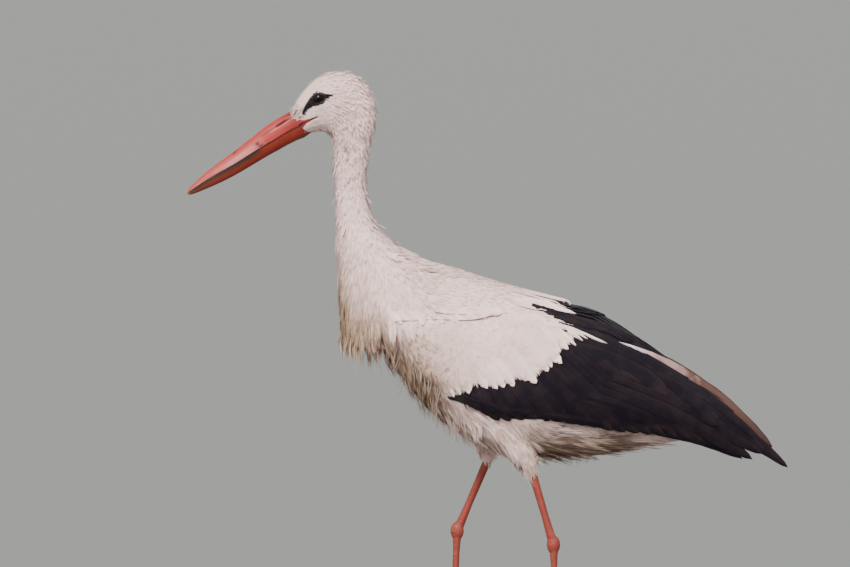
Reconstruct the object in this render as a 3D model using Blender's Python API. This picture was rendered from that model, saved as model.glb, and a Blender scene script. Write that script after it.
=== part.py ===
"""A white stork, standing in mid-stride with its neck up, as a life-size still model.

Row frame, metres: the bird faces -X, its left side is towards -Y and +Z is up. The origin is on the
floor, under the middle of the bird's bounding box. Head, neck, trunk and folded wings are one body
surface that runs from the bill's base to the wing tips, and the nodes are parted from it by thin cuts.
"""

import math

import bmesh
import bpy
from mathutils import Vector

# Clearances. Touching pieces keep CUT between them, and a wing lies SEAT above the bed cut for it.
CUT = 0.0003
SEAT = 0.0009
MIDLINE = 0.0004

# The body surface. Each station is a flat ring across the body: where it meets the back or crown
# (x, z), where it meets the throat or belly (x, z), and its half width.
BODY = (
    (-0.256, 0.781, -0.241, 0.753, 0.0120),  # 0  face, round the bill's base
    (-0.248, 0.797, -0.233, 0.754, 0.0170),
    (-0.238, 0.812, -0.225, 0.755, 0.0210),
    (-0.222, 0.826, -0.217, 0.756, 0.0240),  # 3  eyes
    (-0.202, 0.834, -0.211, 0.755, 0.0265),  # 4  crown
    (-0.179, 0.833, -0.207, 0.752, 0.0275),
    (-0.161, 0.820, -0.204, 0.748, 0.0270),
    (-0.150, 0.803, -0.203, 0.741, 0.0255),  # 7  nape
    (-0.145, 0.784, -0.203, 0.733, 0.0235),
    (-0.147, 0.762, -0.202, 0.724, 0.0215),
    (-0.152, 0.740, -0.202, 0.712, 0.0205),  # 10 top of the neck
    (-0.157, 0.715, -0.201, 0.698, 0.0195),
    (-0.158, 0.689, -0.200, 0.680, 0.0195),
    (-0.155, 0.667, -0.199, 0.659, 0.0210),
    (-0.150, 0.647, -0.199, 0.633, 0.0245),
    (-0.140, 0.629, -0.198, 0.602, 0.0310),
    (-0.125, 0.614, -0.192, 0.568, 0.0400),  # 16 root of the neck
    (-0.101, 0.601, -0.182, 0.533, 0.0510),
    (-0.075, 0.588, -0.163, 0.500, 0.0630),
    (-0.047, 0.580, -0.140, 0.468, 0.0740),  # 19 front of the folded wing
    (-0.017, 0.571, -0.112, 0.434, 0.0820),
    (0.016, 0.560, -0.082, 0.398, 0.0880),
    (0.051, 0.5505, -0.044, 0.365, 0.0910),
    (0.085, 0.540, -0.001, 0.343, 0.0910),  # 23 fullest part of the trunk
    (0.120, 0.529, 0.048, 0.334, 0.0880),
    (0.152, 0.516, 0.096, 0.332, 0.0810),
    (0.182, 0.4965, 0.140, 0.3365, 0.0720),
    (0.212, 0.473, 0.193, 0.3455, 0.0620),
    (0.2495, 0.447, 0.237, 0.347, 0.0510),
    (0.2835, 0.426, 0.273, 0.343, 0.0410),
    (0.3145, 0.404, 0.304, 0.338, 0.0315),
    (0.343, 0.377, 0.334, 0.326, 0.0215),
    (0.3665, 0.347, 0.361, 0.320, 0.0120),
    (0.3926, 0.3195, 0.391, 0.3155, 0.0030),  # 33 wing tip
)
# Behind the fullest part the trunk draws in under the wings, and ends in the tail.
RUMP = (
    (0.145, 0.490, 0.096, 0.333, 0.0680),  # 25
    (0.170, 0.462, 0.140, 0.336, 0.0560),
    (0.190, 0.423, 0.172, 0.342, 0.0410),
    (0.203, 0.390, 0.194, 0.346, 0.0330),  # 28 root of the tail
    (0.234, 0.379, 0.229, 0.354, 0.0310),
    (0.267, 0.371, 0.263, 0.359, 0.0270),
    (0.287, 0.365, 0.284, 0.358, 0.0200),
)
SQUARENESS = 2.3  # of a ring: 2 is an ellipse, and more is squarer
HEAD_END, NECK_MIDDLE, NECK_END, TRUNK_END = 9.0, 13.0, 16.0, 28.0
RUMP_START = 24.0

# The folded wing's edges, as (station, upper edge, lower edge), each edge as a share of the way down
# the ring, and the line where its white coverts end over the black flight feathers.
WING_EDGES = (
    (19.0, 0.700, 0.800),
    (19.4, 0.500, 0.860),
    (20.0, 0.385, 0.915),
    (21.0, 0.250, 0.890),
    (22.0, 0.150, 0.800),
    (23.0, 0.040, 0.790),
    (24.0, 0.000, 0.740),
    (25.0, 0.000, 0.740),
    (26.0, 0.000, 0.780),
    (27.0, 0.000, 0.860),
    (28.0, 0.000, 0.840),
    (29.0, 0.000, 0.850),
    (30.0, 0.000, 0.940),
    (31.0, 0.000, 1.000),
    (33.0, 0.000, 1.000),
)
COVERT_LINE = (
    (21.2, 0.872),
    (22.0, 0.675),
    (23.0, 0.535),
    (23.5, 0.480),
    (24.0, 0.260),
    (24.9, 0.030),
)
PRIMARIES_START = 29.2
WING_DEPTH = ((19.0, 0.0070), (24.0, 0.0070), (28.0, 0.0045), (31.0, 0.0030), (33.0, 0.0008))
WING_PROUD = ((19.0, 0.0010), (20.0, 0.0035), (23.0, 0.0030), (25.0, 0.0), (33.0, 0.0))

# Head.
EYE_CENTRE = (-0.2197, 0.0173, 0.7987)
EYE_RADIUS = 0.0080
# The bill's rings, base to tip, and how far down each ring the mandibles part.
BILL = (
    (-0.2565, 0.7815, -0.2365, 0.7490, 0.0122, 0.570),
    (-0.2704, 0.7742, -0.2535, 0.7423, 0.0114, 0.590),
    (-0.2860, 0.7644, -0.2704, 0.7328, 0.0104, 0.605),
    (-0.3016, 0.7521, -0.2873, 0.7237, 0.0094, 0.580),
    (-0.3172, 0.7397, -0.3049, 0.7131, 0.0084, 0.550),
    (-0.3328, 0.7274, -0.3224, 0.7027, 0.0073, 0.525),
    (-0.3484, 0.7163, -0.3393, 0.6936, 0.0062, 0.500),
    (-0.3640, 0.7046, -0.3569, 0.6854, 0.0050, 0.480),
    (-0.3783, 0.6916, -0.3731, 0.6786, 0.0036, 0.470),
    (-0.3874, 0.6825, -0.3848, 0.6741, 0.0024, 0.480),
    (-0.3926, 0.6769, -0.3919, 0.6737, 0.0011, 0.500),
)

# Legs: the bird's own left is -Y.
LEG_SPREAD = 0.046
SHIN_RADIUS, HEEL_RADIUS, TARSUS_RADIUS = 0.0050, 0.0092, 0.0046
FOOT_JOINT_HEIGHT = 0.0135
LEFT_LEG = {
    "thigh": ((0.016, 0.384), (0.041, 0.347), (0.058, 0.311)),
    "heel": (0.0845, 0.221),
    "foot": 0.091,
}
RIGHT_LEG = {
    "thigh": ((0.006, 0.384), (0.003, 0.352), (-0.001, 0.324)),
    "heel": (-0.040, 0.233),
    "foot": -0.049,
}
THIGH_RADII = ((0.034, 0.028), (0.0195, 0.0175), (0.0078, 0.0078))
# Toes: name, length without the claw, degrees from straight ahead towards the bird's midline.
TOES = (
    ("middle", 0.068, 0.0),
    ("inner", 0.050, 27.0),
    ("outer", 0.058, -29.0),
    ("hind", 0.026, 168.0),
)
TOE_ROOT_RADIUS, TOE_TIP_RADIUS, TOE_HEIGHT = 0.0052, 0.0036, 0.0034
TOE_SPACING = 0.0135
CLAW_LENGTH = 0.010

# Plumes that hang from the foot of the neck: height, front and back x, half width.
PLUME_RINGS = (
    (0.622, -0.199, -0.176, 0.012),
    (0.606, -0.200, -0.160, 0.025),
    (0.580, -0.197, -0.146, 0.036),
    (0.550, -0.195, -0.136, 0.046),
    (0.520, -0.194, -0.130, 0.050),
    (0.497, -0.192, -0.130, 0.046),
)
PLUME_LOCKS = 11
PLUME_TIP_HEIGHT, PLUME_GAP_HEIGHT = 0.466, 0.489


def clear_scene():
    for obj in list(bpy.data.objects):
        bpy.data.objects.remove(obj, do_unlink=True)


def finish_material(name, colour, roughness):
    """A Principled material of one colour."""
    made = bpy.data.materials.new(name)
    made.use_nodes = True
    shader = made.node_tree.nodes["Principled BSDF"]
    shader.inputs["Base Color"].default_value = (*colour, 1.0)
    shader.inputs["Roughness"].default_value = roughness
    shader.inputs["Metallic"].default_value = 0.0
    return made


def faced_out(points, faces):
    """The faces of a closed surface, turned round where they point inwards."""
    volume = 0.0
    for face in faces:
        for b, c in zip(face[1:], face[2:]):
            volume += points[face[0]].dot(points[b].cross(points[c]))
    return faces if volume > 0.0 else [face[::-1] for face in faces]


def add_solid(name, points, faces, material, sharp_degrees=50):
    """One named object from its points and faces, shaded smooth except at sharp edges."""
    mesh = bpy.data.meshes.new(name)
    mesh.from_pydata([tuple(p) for p in points], [], faced_out(points, faces))
    mesh.validate()
    mesh.shade_smooth()
    mesh.set_sharp_from_angle(angle=math.radians(sharp_degrees))
    mesh.materials.append(material)
    obj = bpy.data.objects.new(name, mesh)
    bpy.context.scene.collection.objects.link(obj)
    return obj


def between(rows, where):
    """The values at `where` in rows of (where, values...), joined by straight lines."""
    for low, high in zip(rows, rows[1:]):
        if where <= high[0]:
            share = max(0.0, (where - low[0]) / (high[0] - low[0]))
            return [a + (b - a) * share for a, b in zip(low[1:], high[1:])]
    return list(rows[-1][1:])


def smooth_row(rows, where):
    """A row between whole-numbered rows, on a Catmull-Rom curve through them."""
    where = min(max(where, 0.0), len(rows) - 1.0)
    i = min(int(where), len(rows) - 2)
    f = where - i
    before, low = rows[max(i - 1, 0)], rows[i]
    high, after = rows[i + 1], rows[min(i + 2, len(rows) - 1)]
    return [
        b + 0.5 * f * (c - a + f * (2 * a - 5 * b + 4 * c - d + f * (3 * (b - c) + d - a)))
        for a, b, c, d in zip(before, low, high, after)
    ]


def body_station(where):
    return smooth_row(BODY, where)


def trunk_station(where):
    """The trunk's own ring, which leaves the body surface under the wings."""
    if where <= RUMP_START:
        return body_station(where)
    rows = [BODY[int(RUMP_START) - 1], BODY[int(RUMP_START)], *RUMP]
    return smooth_row(rows, where - RUMP_START + 1)


def ring_point(station, share, side, depth=0.0):
    """A point on a ring, `share` of the way down it, `depth` inside the surface."""
    top_x, top_z, low_x, low_z, half_width = station
    down = Vector((low_x - top_x, 0.0, low_z - top_z))
    length = down.length
    down /= length
    across = 1.0 - 2.0 * share
    bulge = (1.0 - min(abs(across), 1.0) ** SQUARENESS) ** (1.0 / SQUARENESS)
    along = depth + (length - 2.0 * depth) * share
    point = Vector((top_x, 0.0, top_z)) + down * along
    point.y = side * max(half_width - depth, 0.0) * bulge
    return point


def spaced(low, high, count):
    """`count` steps from low to high, as count + 1 values."""
    return [low + (high - low) * i / count for i in range(count + 1)]


def turned_shares(low, high, count):
    """Shares of the way down a ring, evenly spaced by angle between two shares."""
    a, b = (math.acos(1.0 - 2.0 * min(max(v, 0.0), 1.0)) for v in (low, high))
    return [(1.0 - math.cos(angle)) / 2.0 for angle in spaced(a, b, count)]


def loft(rings):
    """Points and faces of a closed tube through rings of equal length, with flat ends."""
    size = len(rings[0])
    points = [p for ring in rings for p in ring]
    faces = [tuple(range(size))[::-1]]
    for i in range(len(rings) - 1):
        for j in range(size):
            k = (j + 1) % size
            a, b, c, d = i * size + j, i * size + k, (i + 1) * size + k, (i + 1) * size + j
            faces += [(a, b, c), (a, c, d)]
    faces.append(tuple(range((len(rings) - 1) * size, len(points))))
    return points, faces


def body_tube(name, start, end, steps, around, material, station=body_station):
    """A length of head or neck, from one station to another."""
    shares = turned_shares(0.0, 1.0, around)
    rings = []
    for where in spaced(start, end, steps):
        row = station(where)
        left = [ring_point(row, s, -1.0) for s in shares]
        right = [ring_point(row, s, 1.0) for s in reversed(shares[1:-1])]
        rings.append(left + right)
    return add_solid(name, *loft(rings), material)


def wing_edges(where):
    return between(WING_EDGES, where)


def wing_stations():
    """The stations that trunk and wings share, so that their facets match."""
    front, covert_start = WING_EDGES[0][0], COVERT_LINE[0][0]
    return sorted({front, front + 0.4, *spaced(front + 1.0, RUMP_START, 8), covert_start})


def covert_line(where):
    """How far down the ring the white coverts end."""
    return wing_edges(where)[1] if where <= COVERT_LINE[0][0] else between(COVERT_LINE, where)[0]


def trunk_half_ring(where):
    """One side of a trunk ring from back to belly, sunk where the wing lies on it."""
    row = trunk_station(where)
    front, rim = WING_EDGES[0][0], 0.012
    upper, lower = wing_edges(max(where, front))
    line = covert_line(max(where, front))
    above = turned_shares(0.0, max(upper - rim, 0.0), 3)
    bed = turned_shares(upper, line, 5) + turned_shares(line, lower, 5)[1:]
    below = turned_shares(min(lower + rim, 1.0), 1.0, 3)
    if where < front:
        return [ring_point(row, s, -1.0) for s in above + bed + below]
    fade = min(max((where - RUMP_START) / 2.0, 0.0), 1.0)
    depth = (between(WING_DEPTH, where)[0] + SEAT) * (1.0 - fade)
    points = [ring_point(row, s, -1.0, depth if upper <= rim else 0.0) for s in above]
    points += [ring_point(row, s, -1.0, depth) for s in bed]
    points += [ring_point(row, s, -1.0) for s in below]
    return points


def make_trunk(material):
    front = WING_EDGES[0][0]
    stations = spaced(NECK_END + 0.03, front - 0.06, 6) + wing_stations()
    stations += spaced(RUMP_START + 0.5, TRUNK_END, 7)
    halves = [trunk_half_ring(where) for where in stations]
    width, points, faces = len(halves[0]), [p for half in halves for p in half], []
    for i in range(len(halves) - 1):
        for j in range(width - 1):
            a, d = i * width + j, (i + 1) * width + j
            faces += [(a, a + 1, d + 1), (a, d + 1, d)]
    total = len(points)
    points += [Vector((p.x, -p.y, p.z)) for p in points]
    faces += [tuple(total + v for v in reversed(face)) for face in faces]
    first = list(range(width))
    last = [total - width + j for j in first]
    faces.append(tuple(first[::-1] + [total + j for j in first[1:-1]]))
    faces.append(tuple(last + [total + j for j in reversed(last[1:-1])]))
    return add_solid("trunk", *merged(points, faces), material, 35)


def merged(points, faces):
    """The same surface with coincident points made one and collapsed faces dropped."""
    seen, index = {}, []
    kept = []
    for p in points:
        key = tuple(round(v, 6) for v in p)
        if key not in seen:
            seen[key] = len(kept)
            kept.append(p)
        index.append(seen[key])
    out = []
    for face in faces:
        loop = [index[i] for i in face]
        loop = [v for i, v in enumerate(loop) if v != loop[i - 1]]
        if len(set(loop)) >= 3:
            out.append(tuple(loop))
    return kept, out


def wing_shell(name, side, stations, edges, columns, material):
    """A closed curved plate over part of the folded wing, `edges` giving its two edges at a station."""
    outer, inner = [], []
    for where in stations:
        row = body_station(where)
        shares = turned_shares(*edges(where), columns)
        depth = between(WING_DEPTH, where)[0]
        proud = between(WING_PROUD, where)[0]
        for i, share in enumerate(shares):
            rim = math.sin(math.pi * i / columns) ** 0.35 if 0 < i < columns else 0.0
            for points, level in ((outer, -proud * rim), (inner, depth)):
                point = ring_point(row, share, side, level)
                point.y += side * MIDLINE
                points.append(point)
    rows, width, total = len(stations), columns + 1, len(outer)
    faces = []
    for i in range(rows - 1):
        for j in range(columns):
            a, b = i * width + j, i * width + j + 1
            c, d = b + width, a + width
            faces += [(a, b, c), (a, c, d)]
            faces += [(total + a, total + c, total + b), (total + a, total + d, total + c)]
    for i in range(rows - 1):
        a, d = i * width, (i + 1) * width
        faces += [(a, d, total + d), (a, total + d, total + a)]
        b, c = a + columns, d + columns
        faces += [(b, total + c, c), (b, total + b, total + c)]
    for j in range(columns):
        faces += [(j, total + j + 1, j + 1), (j, total + j, total + j + 1)]
        k = (rows - 1) * width + j
        faces += [(k, k + 1, total + k + 1), (k, total + k + 1, total + k)]
    return add_solid(name, *merged(outer + inner, faces), material)


def make_wing(side, word, white, black):
    """The folded wing's three plates: white coverts, black secondaries and the primaries' tips."""
    hair = 0.0018  # as a share of a ring, the cut round each plate
    shared = wing_stations()
    covert_start, covert_end = COVERT_LINE[0][0], COVERT_LINE[-1][0]

    def covert_edges(where):
        upper = wing_edges(where)[0]
        return upper + hair if upper > 0.0 else 0.0, covert_line(where) - hair

    def flight_edges(where):
        upper = covert_line(where) + hair if where < covert_end else wing_edges(where)[0]
        return upper, wing_edges(where)[1] - hair

    end_rows = [24.3, 24.6, 24.75, covert_end - 0.03]
    covert_rows = shared + end_rows
    flight_rows = [covert_start + 0.06, *(s for s in shared if s > covert_start), *end_rows]
    flight_rows += [covert_end, *spaced(25.3, PRIMARIES_START, 8)]
    tip_rows = spaced(PRIMARIES_START + 0.012, len(BODY) - 1.0, 8)
    wing_shell(f"wing_{word}_coverts", side, covert_rows, covert_edges, 5, white)
    wing_shell(f"wing_{word}_secondaries", side, flight_rows, flight_edges, 5, black)
    wing_shell(f"wing_{word}_primaries", side, tip_rows, wing_edges, 6, black)


def make_tail(material):
    return body_tube("tail", TRUNK_END + 0.02, TRUNK_END + 3.0, 5, 8, material, trunk_station)


def grown_copy(obj, by):
    """A hidden cutter: the object's surface moved outwards."""
    mesh = obj.data.copy()
    normals = [v.normal.copy() for v in mesh.vertices]
    for vertex, normal in zip(mesh.vertices, normals):
        vertex.co += normal * by
    cutter = bpy.data.objects.new(obj.name + "_cutter", mesh)
    bpy.context.scene.collection.objects.link(cutter)
    cutter.hide_render = True
    cutter.display_type = "WIRE"
    return cutter


def cut_away(target, *others):
    """Takes each of the others out of the target, with a thin gap, and applies the cut."""
    for other in others:
        cutter = grown_copy(other, CUT)
        modifier = target.modifiers.new("seat", "BOOLEAN")
        modifier.operation = "DIFFERENCE"
        modifier.solver = "EXACT"
        modifier.object = cutter
        graph = bpy.context.evaluated_depsgraph_get()
        mesh = bpy.data.meshes.new_from_object(target.evaluated_get(graph))
        target.modifiers.clear()
        mesh.set_sharp_from_angle(angle=math.radians(50))
        target.data = mesh
        bpy.data.objects.remove(cutter, do_unlink=True)
    return target


def keep_main_body(obj):
    """Drops the offcuts a cut left, keeping the piece with the most corners."""
    shape = bmesh.new()
    shape.from_mesh(obj.data)
    left, pieces = set(shape.verts), []
    while left:
        piece, edge = set(), [left.pop()]
        while edge:
            vertex = edge.pop()
            piece.add(vertex)
            for link in vertex.link_edges:
                other = link.other_vert(vertex)
                if other in left:
                    left.discard(other)
                    edge.append(other)
        pieces.append(piece)
    pieces.sort(key=len)
    for piece in pieces[:-1]:
        bmesh.ops.delete(shape, geom=list(piece), context="VERTS")
    shape.to_mesh(obj.data)
    shape.free()
    return obj


def tube_along(name, centres, radii, around, material, floor=None):
    """A tapered limb through centres, with radii as (in the leg's plane, across it).

    With a floor, what would lie below it is flattened onto it.
    """
    rings = []
    for i, centre in enumerate(centres):
        ahead = centres[min(i + 1, len(centres) - 1)] - centres[max(i - 1, 0)]
        ahead.normalize()
        across = Vector((0.0, 1.0, 0.0))
        if abs(ahead.dot(across)) > 0.3 or floor is not None:
            across = ahead.cross(Vector((0.0, 0.0, 1.0))).normalized()
        upward = across.cross(ahead).normalized()
        deep, wide = radii[i] if isinstance(radii[i], tuple) else (radii[i], radii[i])
        ring = []
        for k in range(around):
            angle = 2.0 * math.pi * (k + 0.5) / around
            point = centre + upward * deep * math.sin(angle) + across * wide * math.cos(angle)
            if floor is not None:
                point.z = max(point.z, floor)
            ring.append(point)
        rings.append(ring)
    return add_solid(name, *loft([ring[::-1] for ring in rings]), material)


def ball(name, centre, radii, segments, rings, material, floor=None):
    """An ellipsoid, flattened onto the floor where there is one."""
    points = [Vector(centre) + Vector((0, 0, radii[2]))]
    for i in range(1, rings):
        polar = math.pi * i / rings
        for k in range(segments):
            turn = 2.0 * math.pi * (k + 0.5) / segments
            offset = (
                radii[0] * math.sin(polar) * math.cos(turn),
                radii[1] * math.sin(polar) * math.sin(turn),
                radii[2] * math.cos(polar),
            )
            points.append(Vector(centre) + Vector(offset))
    points.append(Vector(centre) - Vector((0, 0, radii[2])))
    if floor is not None:
        for point in points:
            point.z = max(point.z, floor)
    last = len(points) - 1
    faces = []
    for k in range(segments):
        n = (k + 1) % segments
        faces.append((0, 1 + k, 1 + n))
        for i in range(rings - 2):
            a, b = 1 + i * segments + k, 1 + i * segments + n
            faces.append((a, a + segments, b + segments, b))
        base = 1 + (rings - 2) * segments
        faces.append((last, base + n, base + k))
    return add_solid(name, points, faces, material)


def make_eyes(head, material):
    for side, word in ((-1.0, "left"), (1.0, "right")):
        centre = (EYE_CENTRE[0], side * EYE_CENTRE[1], EYE_CENTRE[2])
        eye = ball(f"eye_{word}", centre, (EYE_RADIUS,) * 3, 12, 8, material)
        cut_away(head, eye)


def make_bill(head, horn):
    """Both mandibles as one tapering form, parted along the line of the mouth."""
    for name, upper in (("bill_upper", True), ("bill_lower", False)):
        rings = []
        for where in spaced(0.0, len(BILL) - 1.0, 14):
            *row, line = smooth_row(BILL, where)
            gap = 0.5 * CUT / math.hypot(row[0] - row[2], row[1] - row[3])
            steps = turned_shares(0.0, line - gap, 5) if upper else turned_shares(line + gap, 1.0, 5)
            left = [ring_point(row, s, -1.0) for s in steps]
            right = [ring_point(row, s, 1.0) for s in reversed(steps)]
            rings.append(left + right[1:] if not upper else left + right[:-1])
        keep_main_body(cut_away(add_solid(name, *merged(*loft(rings)), horn), head))


def make_plumes(material, *behind):
    """The shaggy bib: a soft form whose lower edge breaks into pointed locks."""
    around = 2 * PLUME_LOCKS
    rings = []
    for height, front, back, half_width in PLUME_RINGS:
        rings.append(plume_ring(around, front, back, half_width, [height] * around))
    front, back, half_width = PLUME_RINGS[-1][1:]
    heights = [PLUME_TIP_HEIGHT if k % 2 else PLUME_GAP_HEIGHT for k in range(around)]
    rings.append(plume_ring(around, front + 0.003, back, 0.88 * half_width, heights))
    inner = plume_ring(around, front + 0.012, back - 0.010, 0.6 * half_width, [0.494] * around)
    rings.append(inner)
    bib = add_solid("breast_plumes", *loft([ring[::-1] for ring in rings]), material, 35)
    return keep_main_body(cut_away(bib, *behind))


def plume_ring(around, front, back, half_width, heights):
    centre, reach = (front + back) / 2.0, (back - front) / 2.0
    ring = []
    for k in range(around):
        angle = 2.0 * math.pi * (k + 0.5) / around
        ring.append(
            Vector((centre + reach * math.cos(angle), half_width * math.sin(angle), heights[k]))
        )
    return ring


def make_leg(side, word, leg, trunk, white, red, nail):
    """One leg from its feathered thigh down to the claws."""
    y = side * LEG_SPREAD

    def at(point):
        return Vector((point[0], y, point[1]))

    hip, knee, cuff = (at(p) for p in leg["thigh"])
    heel = at(leg["heel"])
    foot = Vector((leg["foot"], y, FOOT_JOINT_HEIGHT))
    thigh = tube_along(f"thigh_{word}", [hip, knee, cuff], THIGH_RADII, 14, white)
    keep_main_body(cut_away(thigh, trunk))

    joint = ball(f"heel_{word}", heel, (HEEL_RADIUS, 0.0075, 0.0125), 12, 8, red)
    pad = ball(f"foot_{word}", foot - Vector((0, 0, 0.006)), (0.0125, 0.0115, 0.0115), 12, 6, red, 0.0)
    down = (heel - cuff).normalized()
    shin = tube_along(
        f"shin_{word}",
        [cuff - down * 0.004, cuff.lerp(heel, 0.6), heel],
        [SHIN_RADIUS * 1.15, SHIN_RADIUS, SHIN_RADIUS * 1.3],
        10,
        red,
    )
    keep_main_body(cut_away(shin, thigh, joint))
    tarsus = tube_along(
        f"tarsus_{word}",
        [heel, heel.lerp(foot, 0.12), heel.lerp(foot, 0.85), foot],
        [TARSUS_RADIUS * 1.35, TARSUS_RADIUS, TARSUS_RADIUS, TARSUS_RADIUS * 1.4],
        10,
        red,
    )
    cut_away(tarsus, joint, pad)
    for name, length, degrees in TOES:
        turn = math.radians(degrees) * -side
        ahead = Vector((-math.cos(turn), math.sin(turn), 0.0))
        beside = TOE_SPACING * ahead.y if ahead.x < 0.0 else 0.0
        root = Vector((foot.x, y + beside, TOE_HEIGHT + 0.001))
        tip = Vector((foot.x, y + beside, TOE_HEIGHT - 0.0009)) + ahead * length
        centres = [root, root.lerp(tip, 0.35), root.lerp(tip, 0.7), tip]
        radii = [TOE_ROOT_RADIUS * k for k in (1.0, 0.96, 0.84, 0.66)]
        toe = tube_along(f"toe_{word}_{name}", centres, radii, 8, red, 0.0)
        keep_main_body(cut_away(toe, pad))
        start = tip + ahead * CUT
        claw_centres = [start, start + ahead * CLAW_LENGTH * 0.55, start + ahead * CLAW_LENGTH]
        claw_centres[2].z = 0.0016
        claw_radii = [TOE_TIP_RADIUS * 0.86, TOE_TIP_RADIUS * 0.66, 0.0009]
        tube_along(f"claw_{word}_{name}", claw_centres, claw_radii, 6, nail, 0.0)


def main():
    clear_scene()
    white = finish_material("plumage_white", (0.80, 0.77, 0.74), 0.8)
    black = finish_material("plumage_black", (0.025, 0.021, 0.025), 0.55)
    horn = finish_material("bill_red", (0.62, 0.13, 0.08), 0.45)
    leg_red = finish_material("leg_red", (0.60, 0.15, 0.10), 0.55)
    nail = finish_material("claw_horn", (0.10, 0.06, 0.05), 0.4)
    wet = finish_material("eye_dark", (0.02, 0.012, 0.01), 0.08)

    head = body_tube("head", 0.0, HEAD_END, 10, 9, white)
    make_eyes(head, wet)
    make_bill(head, horn)
    body_tube("neck_upper", HEAD_END + 0.03, NECK_MIDDLE, 5, 10, white)
    neck_lower = body_tube("neck_lower", NECK_MIDDLE + 0.03, NECK_END, 5, 10, white)
    trunk = make_trunk(white)
    make_tail(white)
    for side, word in ((-1.0, "left"), (1.0, "right")):
        make_wing(side, word, white, black)
    make_plumes(white, neck_lower, trunk)
    make_leg(-1.0, "left", LEFT_LEG, trunk, white, leg_red, nail)
    make_leg(1.0, "right", RIGHT_LEG, trunk, white, leg_red, nail)


main()
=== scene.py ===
"""A white stork as a life-size museum model: skin, coat, flight feathers, bill, eyes and legs.

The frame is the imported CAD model: the bird faces -X, its left side is towards -Y and +Z is up.
Places are read from the boxes and surfaces of the CAD nodes, so the looks follow the solids.
"""

import math

import bmesh
import bpy
import numpy as np
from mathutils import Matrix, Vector, noise
from mathutils.bvhtree import BVHTree


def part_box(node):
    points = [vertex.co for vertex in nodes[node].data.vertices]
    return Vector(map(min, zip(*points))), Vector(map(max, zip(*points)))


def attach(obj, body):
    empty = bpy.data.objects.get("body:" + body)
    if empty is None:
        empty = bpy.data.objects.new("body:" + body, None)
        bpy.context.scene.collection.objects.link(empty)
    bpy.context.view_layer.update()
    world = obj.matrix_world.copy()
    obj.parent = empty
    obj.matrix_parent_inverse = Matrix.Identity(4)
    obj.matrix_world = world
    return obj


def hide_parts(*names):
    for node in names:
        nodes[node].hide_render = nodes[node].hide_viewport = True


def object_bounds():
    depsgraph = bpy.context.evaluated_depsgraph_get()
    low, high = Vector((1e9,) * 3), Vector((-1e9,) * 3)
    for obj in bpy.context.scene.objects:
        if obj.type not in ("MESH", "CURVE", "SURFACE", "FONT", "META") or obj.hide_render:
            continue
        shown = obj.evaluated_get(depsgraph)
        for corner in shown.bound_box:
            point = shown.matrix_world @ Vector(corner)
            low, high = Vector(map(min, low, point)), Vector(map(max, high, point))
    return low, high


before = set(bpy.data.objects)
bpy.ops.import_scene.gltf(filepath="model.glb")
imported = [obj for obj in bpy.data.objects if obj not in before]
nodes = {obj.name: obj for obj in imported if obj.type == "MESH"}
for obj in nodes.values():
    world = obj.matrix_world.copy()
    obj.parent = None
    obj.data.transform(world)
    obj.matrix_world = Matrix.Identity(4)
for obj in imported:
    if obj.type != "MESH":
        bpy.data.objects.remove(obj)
cad_low, cad_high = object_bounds()

# Skin. One closed surface under all the plumage: the flesh nodes melted together, smoothed, and
# drawn in by the depth of the coat at each place.

SKIN_GRAIN = 0.0028
SKIN_END = 0.245  # behind this the folded wing is only its flight feathers
THIGH_TAPER = 0.024  # how far up the thigh its lower end narrows onto the shin
BIB_HEM = 0.026  # how far the strands hang below the skin of the bib
BIB_LOOSE = 0.045  # how high above its hem the bib's feathers hang free of the skin
LUMPS = 0.30  # how uneven the flesh is, as a share of the coat's depth
STEM_PULL = 0.55  # how far the end of the thigh draws in onto the shin
FACE_REACH = 0.022  # how far from the bill's root the skin keeps to the solid head
BIB_FOLD = 0.03  # the height over which the bib's skin is pushed up above its hem
SOCKET_DEPTH = 0.006  # how far the skin sinks behind the middle of an eye
SIDES = {"left": -1, "right": 1}
WINGS = [f"wing_{side}_{part}" for side in SIDES
         for part in ("coverts", "secondaries", "primaries")]
FLESH = ["head", "neck_upper", "neck_lower", "breast_plumes", "trunk", "tail", "thigh_left",
         "thigh_right", *WINGS]


def in_scene(name, data):
    """A new object of the scene that holds the data: a mesh, a lamp or a camera."""
    made = bpy.data.objects.new(name, data)
    bpy.context.scene.collection.objects.link(made)
    return made


def mesh_object(name, points, faces):
    """A new object from points and faces."""
    mesh = bpy.data.meshes.new(name)
    mesh.from_pydata([tuple(p) for p in points], [], [tuple(f) for f in faces])
    mesh.update()
    return in_scene(name, mesh)


def only(obj):
    """Makes one object the active one and the only one selected."""
    bpy.ops.object.select_all(action="DESELECT")
    obj.select_set(True)
    bpy.context.view_layer.objects.active = obj
    return obj


def merged_nodes(name, names):
    """One object holding copies of CAD nodes, with their loose triangles welded."""
    build = bmesh.new()
    for node in names:
        build.from_mesh(nodes[node].data)
    bmesh.ops.remove_doubles(build, verts=build.verts, dist=1e-5)
    mesh = bpy.data.meshes.new(name)
    build.to_mesh(mesh)
    build.free()
    return in_scene(name, mesh)


def apply_modifier(obj, kind, **settings):
    """Adds a modifier and applies it at once."""
    only(obj)
    modifier = obj.modifiers.new(kind, kind)
    for key, value in settings.items():
        setattr(modifier, key, value)
    bpy.ops.object.modifier_apply(modifier=modifier.name)


def points_of(mesh):
    """The places of a mesh's points."""
    flat = np.empty(len(mesh.vertices) * 3)
    mesh.vertices.foreach_get("co", flat)
    return flat.reshape(-1, 3)


def normals_of(mesh):
    """The way out at each point of a mesh."""
    flat = np.empty(len(mesh.vertices) * 3, np.float32)
    mesh.vertex_normals.foreach_get("vector", flat)
    return flat.reshape(-1, 3).astype(float)


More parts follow.
